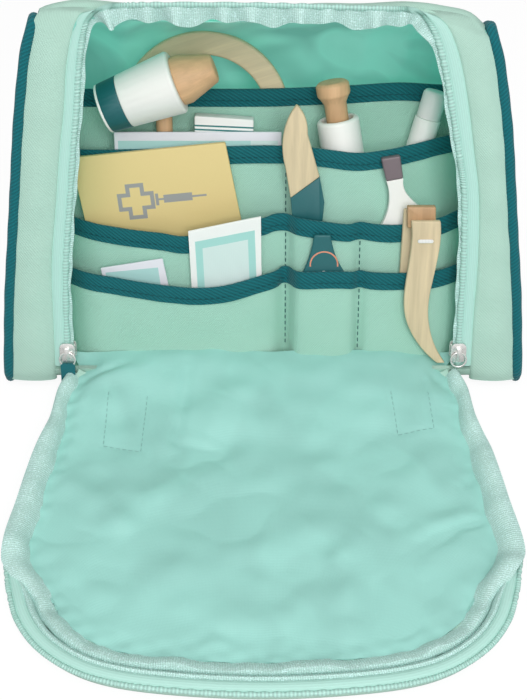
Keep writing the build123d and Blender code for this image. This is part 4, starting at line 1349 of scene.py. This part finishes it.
class VETBAG_OT_flap(bpy.types.Operator):
    """Make the open flap: its outer cloth, loose lining, seam tapes and half of the zip"""

    bl_idname = "vet_bag.flap"
    bl_label = "Flap"

    def execute(self, context):
        """Lofts the flap as a shallow tray with a soft rim."""
        inset, floor, foot_rise, rim_rise = 4.5, 4.1, 4.4, 3.6
        grid = flap_patch(inset, 90, far=141)
        near = np.clip(1 - flap_reach(grid) / 13, 0, 1) ** 2
        rim = np.clip(1 - rim_distance(grid, inset) / 5.0, 0, 1) ** 2
        grid[..., 2] = (floor + foot_rise * near + rim_rise * rim) * MM
        sewn("flap_cloth", sheeted(grid, FLAP_CLOTH, UP), outer_twill(), "flap_panel")
        self.rim()
        self.stitched_boxes(*self.lining())
        return {"FINISHED"}

    def rim(self):
        """The standing rim with its zip tape, its teeth and the silvery tapes over its seam."""
        path, inward, reach, beside = flap_rim()
        rise = np.broadcast_to(UP, path.shape)
        share = (band_width(reach) / 17.4)[:, None, None]
        fit = np.concatenate((1 - beside * (1 - share), 1 - 0.22 * beside), axis=2)
        wall = swept(path, np.array(FLAP_WALL) * fit * MM, inward, rise)
        sewn("flap_wall", wall, outer_twill(), "flap_panel", stands_for=False)
        tape = swept(path, np.array(FLAP_TAPE) * fit * MM, inward, rise)
        sewn("flap_tape_strip", tape, zip_cloth(), "flap_zip_tape")
        coil = path + inward * 1.5 * MM + UP * (9.5 - 1.9 * beside[:, :, 0]) * MM
        toothed("flap_teeth_row", coil, inward, rise, 0.0024, 0.0024, "flap_zip_coil")

        run = np.cumsum(np.linalg.norm(np.gradient(path, axis=0), axis=1)) / MM
        ruffle = (np.sin(run / 2.6) * 0.3 + np.sin(run / 4.7 + 1) * 0.45 + np.sin(run / 9.1) * 0.6)[:, None]
        side_tape = np.array(SIDE_TAPE) * np.concatenate((share, np.ones_like(share)), axis=2)
        near = 1 - eased((reach + 4) / 44)
        side_tape[:, :, 1] += near[:, None] * np.array((3.0, 2.4, 1.0) + (0,) * 8 + (1.0,))
        section = np.array(FAR_TAPE) * (1 - beside) + side_tape * beside
        wide, high = np.linspace(0, 1, len(FAR_TAPE)), np.linspace(0.05, 0.9, len(FAR_TAPE))
        lean = np.stack((ruffle * 0.5 * np.sin(pi * wide), ruffle * (0.35 + np.sin(pi * high))), 2) * 1.1
        lean[:, 0] = 0
        sewn("flap_seam_tape", swept(path, (section + lean) * MM, inward, rise), seam_tape(), "flap_binding")
        outer = np.array(OUTER_TAPE)
        tucked = outer * np.array((0.45, 0.62)) + np.array((1.4, 1.8))
        rings = swept(path, (outer * (1 - beside) + tucked * beside) * MM, inward, rise)
        sewn("flap_seam_tape_outer", rings, seam_tape(), "flap_binding", stands_for=False)

    def lining(self):
        """The loose satin that lies in the flap and bends into the bag. Gives its x, y and height."""
        grid = flap_patch(lining_inset, 150, near=-1.8)
        inside = np.repeat(grid[:1], 5, axis=0)
        inside[..., 1] += np.linspace(9, 1.8, 5)[:, None] * MM
        inside[..., 0] *= np.linspace(1.06, 1.01, 5)[:, None]
        grid = np.concatenate((inside, grid))
        x, y = grid[..., 0] / MM, flap_reach(grid)
        low, foot_rise, fold_share, box_sink = 5.0, 7.8, 1.6, -0.4
        near = 1 - eased((y + 6) / 60)
        away = rim_distance(grid, lining_inset)
        folds = creases(x, y, FLAP_FOLDS) + 0.8 * waves(x, y, (70, 37), 61) + 0.2 * waves(x, y, (17,), 62)
        lie = low + foot_rise * near * (0.4 + 0.6 * eased(away / 12))
        lie = lie + folds * np.clip(away / 9, 0, 1) * fold_share
        lie = lie + 0.3 * waves(x, y, (8,), 63) * np.exp(-((away / 7) ** 2))
        lie = lie + creases(x, y, FLAP_TUCKS)
        for corners in FLAP_BOXES:
            for a, b in zip(corners, corners[1:]):
                lie = lie + creases(x, y, [(*a, *b, box_sink, 1.2)])
        grid[..., 2] = np.maximum(lie, 4.3) * MM
        lining = lofted("flap_lining_cloth", sheeted(grid, FLAP_SATIN, UP))
        # The flap's satin gets a little painted shade of soft folds.
        dressed(lining, satin("flap_satin", colours().flap_lining, 0.16), "flap_lining", True, rides=False)
        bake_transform(lining)
        return x, y, lie

    def stitched_boxes(self, x, y, lie):
        """The stitches that hold the handle's ends, seen on the lining."""
        bend = 15
        groups = []
        for corners in FLAP_BOXES:
            for ends in zip(corners, corners[1:]):
                spots = even(np.array(ends, float), 30)
                spots = spots[spots[:, 1] > bend]
                if len(spots) < 2:
                    continue
                rest = np.array([lie.flat[np.argmin((x - p) ** 2 + (y - q) ** 2)] for p, q in spots])
                line = np.stack((spots[:, 0] * MM, HINGE[1] - spots[:, 1] * MM, (rest + 0.1) * MM), 1)
                groups += stitches(line, UP, 2.0, 0.8, 0.3)
        dressed(gathered("flap_box_stitches", groups), pale_thread(), "flap_lining")


class VETBAG_OT_handles(bpy.types.Operator):
    """Make both webbing handles"""

    bl_idname = "vet_bag.handles"
    bl_label = "Handles"

    def execute(self, context):
        """Lays soft webbing on the flap's underside and the back."""
        finish = woven(
            "webbing_cloth", toned(colours().twill, 0.92), [(32, 2.2, 0.8), (-32, 2.2, 0.6)],
            relief_shading=0.14, depth=0.25, mottle=0.08, Roughness=0.75,
        )
        self.handle("front", *self.on_flap(), 87.3, HANDLE_REACH, finish)
        self.handle("back", *self.on_back(), 70.0, HANDLE_REACH - 9, finish)
        return {"FINISHED"}

    def on_flap(self):
        """Origin, the way to the loop, the way off the cloth and the thickness of the front handle."""
        low, high = (np.array(corner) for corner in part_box("front_handle"))
        thick = high[2] - low[2]
        return np.array((0, HINGE[1], low[2])) + UP * thick, np.array((0, -1.0, 0)), -UP, thick

    def on_back(self):
        """The same for the back handle, along the slope of the back."""
        points = np.array([v.co for v in frame["nodes"]["back_handle_ends"].data.vertices])
        top, foot = points[np.argmax(points[:, 2])], points[np.argmin(points[:, 2])]
        away = unit(np.array((0, top[1] - foot[1], top[2] - foot[2])))
        rise = np.cross(away, ACROSS)
        rise = rise if rise[1] > 0 else -rise
        origin = np.array((0, 0.065, 0.0025)) + rise * HANDLE_SINK
        origin = origin - rise * ((origin @ rise) - (points @ rise).min()) + rise * HANDLE_SINK
        origin[0] = 0
        return origin, away, rise, 0.0016

    def handle(self, name, origin, away, rise, thick, shoulder, rounding, finish):
        """One handle: its loop, and both ends sewn down with a crossed box of stitches."""
        def laid(flat):
            """Points on the cloth from their places across and up it, in millimetres."""
            return origin + flat[..., :1] * MM * ACROSS + flat[..., 1:] * MM * away

        start, count = 57.3, 16
        turn = np.linspace(0, pi, 70)
        middle = np.concatenate((
            np.stack((np.full(count, -HANDLE_REACH), np.linspace(start, shoulder, count, endpoint=False)), 1),
            np.stack((-HANDLE_REACH * np.cos(turn), shoulder + rounding * np.sin(turn)), 1),
            np.stack((np.full(count, HANDLE_REACH), np.linspace(shoulder, start, count + 1)[1:]), 1),
        ))
        ahead = unit(np.gradient(middle, axis=0))
        side = -ahead[:, 1:] * ACROSS + ahead[:, :1] * away
        half, edge = 12.3, thick / MM
        section = MM * np.array([
            (-half, 0.35 * edge), (-half + 0.5, 0.05), (-half / 2, 0.0), (half / 2, 0.0), (half - 0.5, 0.05),
            (half, 0.35 * edge), (half, 0.65 * edge), (half - 0.5, 0.95 * edge), (half / 2, edge),
            (-half / 2, edge), (-half + 0.5, 0.95 * edge), (-half, 0.65 * edge),
        ])
        rings = swept(laid(middle), section, side, np.broadcast_to(rise, side.shape))
        sewn(f"{name}_handle_webbing", rings, finish, f"{name}_handle")
        node = f"{name}_handle_ends"
        for sign, x in (("left", -HANDLE_REACH), ("right", HANDLE_REACH)):
            path = laid(np.stack((np.full(24, x), np.linspace(8, 57, 24)), 1)) - rise * HANDLE_SINK
            side, lift = (np.broadcast_to(way, path.shape) for way in (ACROSS, rise))
            sewn(f"{name}_handle_end_{sign}", swept(path, section, side, lift), finish, node)
            groups = []
            for ends in zip(HANDLE_BOX, HANDLE_BOX[1:]):
                line = laid(even(np.array(ends, float), 30) + np.array((x, 0)))
                groups += stitches(line + rise * (thick - HANDLE_SINK), rise, 2.2, 0.8, 0.35)
            dressed(gathered(f"{name}_handle_stitches_{sign}", groups), pale_thread(), node)


# Metal, wood and card

def ribbed(name, axis, pitch, low, high, depth, roughness):
    """Finish of a ribbed band: bars of two colours along an axis, a pitch in metres apart. The low colour lies in
    the grooves as painted shade, the high one on the ribs.
    """
    finish = Finish(name, Roughness=roughness)
    ribs = (finish.along(axis) * (tau / pitch)).sine() * 0.5 + 0.5
    finish.colour(finish.mix(ribs, low, high))
    finish.relief(ribs, depth)
    return finish.material


class VETBAG_OT_sliders(bpy.types.Operator):
    """Make the zip sliders, their pullers and the tab"""

    bl_idname = "vet_bag.sliders"
    bl_label = "Sliders"

    def execute(self, context):
        """Eases the metal parts and the tab."""
        metal = Finish("plated_metal", Metallic=1.0)
        scratch = metal.noise(0.8, 3.0)
        cloudy = metal.noise(5.0, 2.0)
        metal.colour(metal.mix(cloudy, (0.62, 0.61, 0.59, 1.0), (0.82, 0.81, 0.79, 1.0)))
        metal.roughness(0.18 + scratch * 0.2)
        metal.relief(scratch, 0.02)
        for kind, edge in (("slider", 0.35), ("puller", 0.25)):
            for side in ("left", "right"):
                softened(f"{kind}_{side}", edge, metal.material)
        # The tab's darker grooves are painted shade and its lighter ribs painted light, on the binding colour.
        dark, light = toned(colours().binding, 0.8), toned(colours().binding, 1.25)
        tab = ribbed("tab_cloth", LEAN + ACROSS * 0.8, 0.0012, dark, light, 0.1, 0.75)
        softened("pull_tab", 0.45, tab)
        return {"FINISHED"}


class VETBAG_OT_turned_tools(bpy.types.Operator):
    """Make the otoscope, the syringe and the tube"""

    bl_idname = "vet_bag.turned_tools"
    bl_label = "Turned tools"

    def execute(self, context):
        """Eases the turned wooden pieces and gives them paint and grain."""
        white, teal = paint("white_paint", colours().white), paint("teal_paint", colours().teal)
        slant = ACROSS * cos(radians(20)) + LEAN * sin(radians(20))
        upright = wood("handle_wood", colours().warm_wood, LEAN)
        for node, edge, finish in (
            ("otoscope_head", 0.8, white),
            ("otoscope_collar", 0.2, teal),
            ("otoscope_rim", 0.3, white),
            ("otoscope_nozzle", 0.6, wood("nozzle_wood", colours().warm_wood, slant)),
            ("otoscope_handle", 0.4, upright),
            ("syringe_barrel", 0.7, white),
            ("syringe_plunger", 0.5, upright),
            ("tube_body", 0.5, white),
            ("tube_cap", 0.6, paint("cap_paint", srgb(232, 233, 230))),
        ):
            softened(node, edge, finish)
        return {"FINISHED"}


class VETBAG_OT_flat_tools(bpy.types.Operator):
    """Make the ring, the scalpel, the thermometer, the paddle and the tweezers"""

    bl_idname = "vet_bag.flat_tools"
    bl_label = "Flat tools"

    def execute(self, context):
        """Eases the flat wooden pieces and gives them paint and grain."""
        pale = wood("blade_wood", colours().pale_wood, LEAN)
        # The grey in the elastic's grooves is painted shade.
        dark, light = (0.72, 0.72, 0.70, 1.0), (0.88, 0.88, 0.86, 1.0)
        elastic = ribbed("white_elastic", ACROSS, 0.0007, dark, light, 0.06, 0.6)
        disc = Sheet("paddle_paint", (29.5, 60, 8), 0, colours().teal, Coat_Weight=0.1)
        disc.print(disc.disc(0, -8.6, 7.0, 6.3) * (disc.y > -9.5), srgb(214, 140, 112))
        disc.print(disc.disc(0, -13.2, 1.5), srgb(226, 232, 228))
        for node, edge, finish in (
            ("wooden_ring", 1.1, wood("ring_wood", colours().pale_wood, ACROSS + LEAN * 0.3)),
            ("scalpel_blade", 1.0, pale),
            ("scalpel_handle", 0.8, paint("teal_paint", colours().teal)),
            ("thermometer_tip", 0.8, paint("taupe_paint", colours().taupe)),
            ("thermometer_body", 1.0, paint("white_paint", colours().white)),
            ("tweezers_front_leg", 0.9, pale),
            ("tweezers_rear_leg", 0.8, pale),
            ("tweezers_spacer", 0.8, wood("spacer_wood", toned(colours().warm_wood, 0.75), LEAN)),
            ("tweezers_elastic", 0.35, elastic),
            ("paddle", 0.7, disc.done()),
        ):
            softened(node, edge, finish)
        return {"FINISHED"}


class VETBAG_OT_paper_goods(bpy.types.Operator):
    """Make the box, the cards and the booklet"""

    bl_idname = "vet_bag.paper_goods"
    bl_label = "Paper goods"

    def execute(self, context):
        """Eases the card pieces and prints generic motifs on them."""
        teal, border, grey = srgb(30, 116, 116), srgb(226, 227, 234), srgb(148, 150, 148)
        mint, ochre = colours().card, colours().ochre
        box = Sheet("box_print", (-33.0, 117.5, 35), -2.5, srgb(240, 241, 238))
        box.bars(teal, (-2, -5.0, 34, -4.2), (-2, -6.9, 34, -6.1), (-2, -20.0, 34, -17.0))
        softened("plaster_box", 0.5, box.done())

        card = Sheet("card_print", (-72, 110, 33.7), 0, border)
        card.bars(mint, (1.8, -70, 79.2, -4.2))
        card.bars(srgb(204, 226, 222), (66, -40, 79.2, -4.2))
        card.bars(teal, (65, -34, 76, -20))
        softened("mint_card", 0.3, card.done())

        cover = Sheet("booklet_print", (-92.5, 99.5, 25.4), 5.6, ochre)
        cover.bars(grey, (24, -33.5, 33, -15.5), (19.5, -29, 37.5, -20))
        cover.bars(ochre, (26, -31.5, 31, -17.5), (21.5, -27, 35.5, -22))
        cover.bars(grey, (42, -26.5, 56, -22.5), (56, -25.0, 63, -24.0))
        cover.bars(grey, (38, -27.5, 39.5, -21.5), (39, -25.0, 43, -24.0))
        softened("ochre_booklet", 0.3, cover.done())

        small = Sheet("small_card_print", (-79.5, 47.5, 13.9), 6, border)
        small.bars(mint, (2, -36, 28, -2.5))
        softened("small_card", 0.25, small.done())
        return {"FINISHED"}


class VETBAG_OT_folded_cloth(bpy.types.Operator):
    """Make the small folded cloth"""

    bl_idname = "vet_bag.folded_cloth"
    bl_label = "Folded cloth"

    def execute(self, context):
        """Folds a soft sheet over at its top."""
        foot_left, foot_right = (-34.5, 18.0), (-0.5, 23.0)
        head_left, head_right = (-36.0, 66.0), (-1.0, 73.5)
        rows, columns, roll, middle = 50, 40, 0.8, 13.75
        foot, head = np.array((foot_left, foot_right)), np.array((head_left, head_right))
        left, right = np.array((foot_left, head_left)), np.array((foot_right, head_right))
        flat = patch(even(foot, columns), even(head, columns), even(left, rows), even(right, rows))
        turn = np.linspace(0, pi, 9)[1:-1, None]
        over = np.repeat(flat[-1:], len(turn), axis=0)
        over[..., 1] += roll * np.sin(turn)
        spots = np.concatenate((flat, over, flat[::-1]))
        wave = 0.12 * waves(spots[..., 0], spots[..., 1], (19, 9), 71)
        depth = np.concatenate((np.full((rows, 1), -roll), -roll * np.cos(turn), np.full((rows, 1), roll)))
        grid = place(spots[..., 0], spots[..., 1], middle + depth + wave)
        front = np.broadcast_to(OUT, (rows, 3))
        faces = np.concatenate((front, OUT * np.cos(turn) + LEAN * np.sin(turn), -front))
        rings = sheeted(grid, TOWEL, np.broadcast_to(faces[:, None], grid.shape))
        pattern = Sheet("cloth_print", (-36.0, 66.0, 12.3), 11.5, srgb(236, 239, 236), Sheen_Weight=0.2)
        pattern.x = pattern.x - pattern.y * 0.17
        pattern.bars(srgb(160, 212, 205), (3.0, -60, 32.5, -5.0))
        pattern.bars(srgb(206, 226, 222), (6.5, -60, 29.0, -9.0))
        pattern.fibres = ((pattern.x * (tau / 0.9)).sine() + (pattern.y * (tau / 0.8)).sine()) * 0.25 + 0.5
        piece = lofted("cloth_folded", rings)
        dressed(piece, pattern.done(), "folded_cloth", True)
        return {"FINISHED"}


# The add-on

class VETBAG_PT_panel(bpy.types.Panel):
    """List of the bag's pieces"""

    bl_idname = "VETBAG_PT_panel"
    bl_label = "Toy vet bag"
    bl_space_type = "VIEW_3D"
    bl_region_type = "UI"
    bl_category = "Vet bag"

    def draw(self, context):
        """Shows the settings and a button for each piece."""
        for group in (context.scene.vet_bag_sizes, context.scene.vet_bag_colours):
            column = self.layout.column(align=True)
            for key in group.bl_rna.properties.keys():
                if key not in ("rna_type", "name"):
                    column.prop(group, key)
        column = self.layout.column(align=True)
        for operator in OPERATORS:
            column.operator(operator.bl_idname)


OPERATORS = (
    VETBAG_OT_stage, VETBAG_OT_shell, VETBAG_OT_piping, VETBAG_OT_opening_zip, VETBAG_OT_lining,
    VETBAG_OT_organiser, VETBAG_OT_flap, VETBAG_OT_handles, VETBAG_OT_sliders, VETBAG_OT_turned_tools,
    VETBAG_OT_flat_tools, VETBAG_OT_paper_goods, VETBAG_OT_folded_cloth,
)
CLASSES = (VetBagSizes, VetBagColours) + OPERATORS + (VETBAG_PT_panel,)


def register():
    """Registers the classes and the settings."""
    for kind in CLASSES:
        bpy.utils.register_class(kind)
    bpy.types.Scene.vet_bag_sizes = bpy.props.PointerProperty(type=VetBagSizes)
    bpy.types.Scene.vet_bag_colours = bpy.props.PointerProperty(type=VetBagColours)


def unregister():
    """Takes the classes and the settings out again."""
    del bpy.types.Scene.vet_bag_colours
    del bpy.types.Scene.vet_bag_sizes
    for kind in reversed(CLASSES):
        bpy.utils.unregister_class(kind)


def main():
    """Makes every piece."""
    register()
    for operator in OPERATORS:
        group, name = operator.bl_idname.split(".")
        getattr(getattr(bpy.ops, group), name)()
    bpy.context.view_layer.update()


if __name__ == "__main__":
    main()
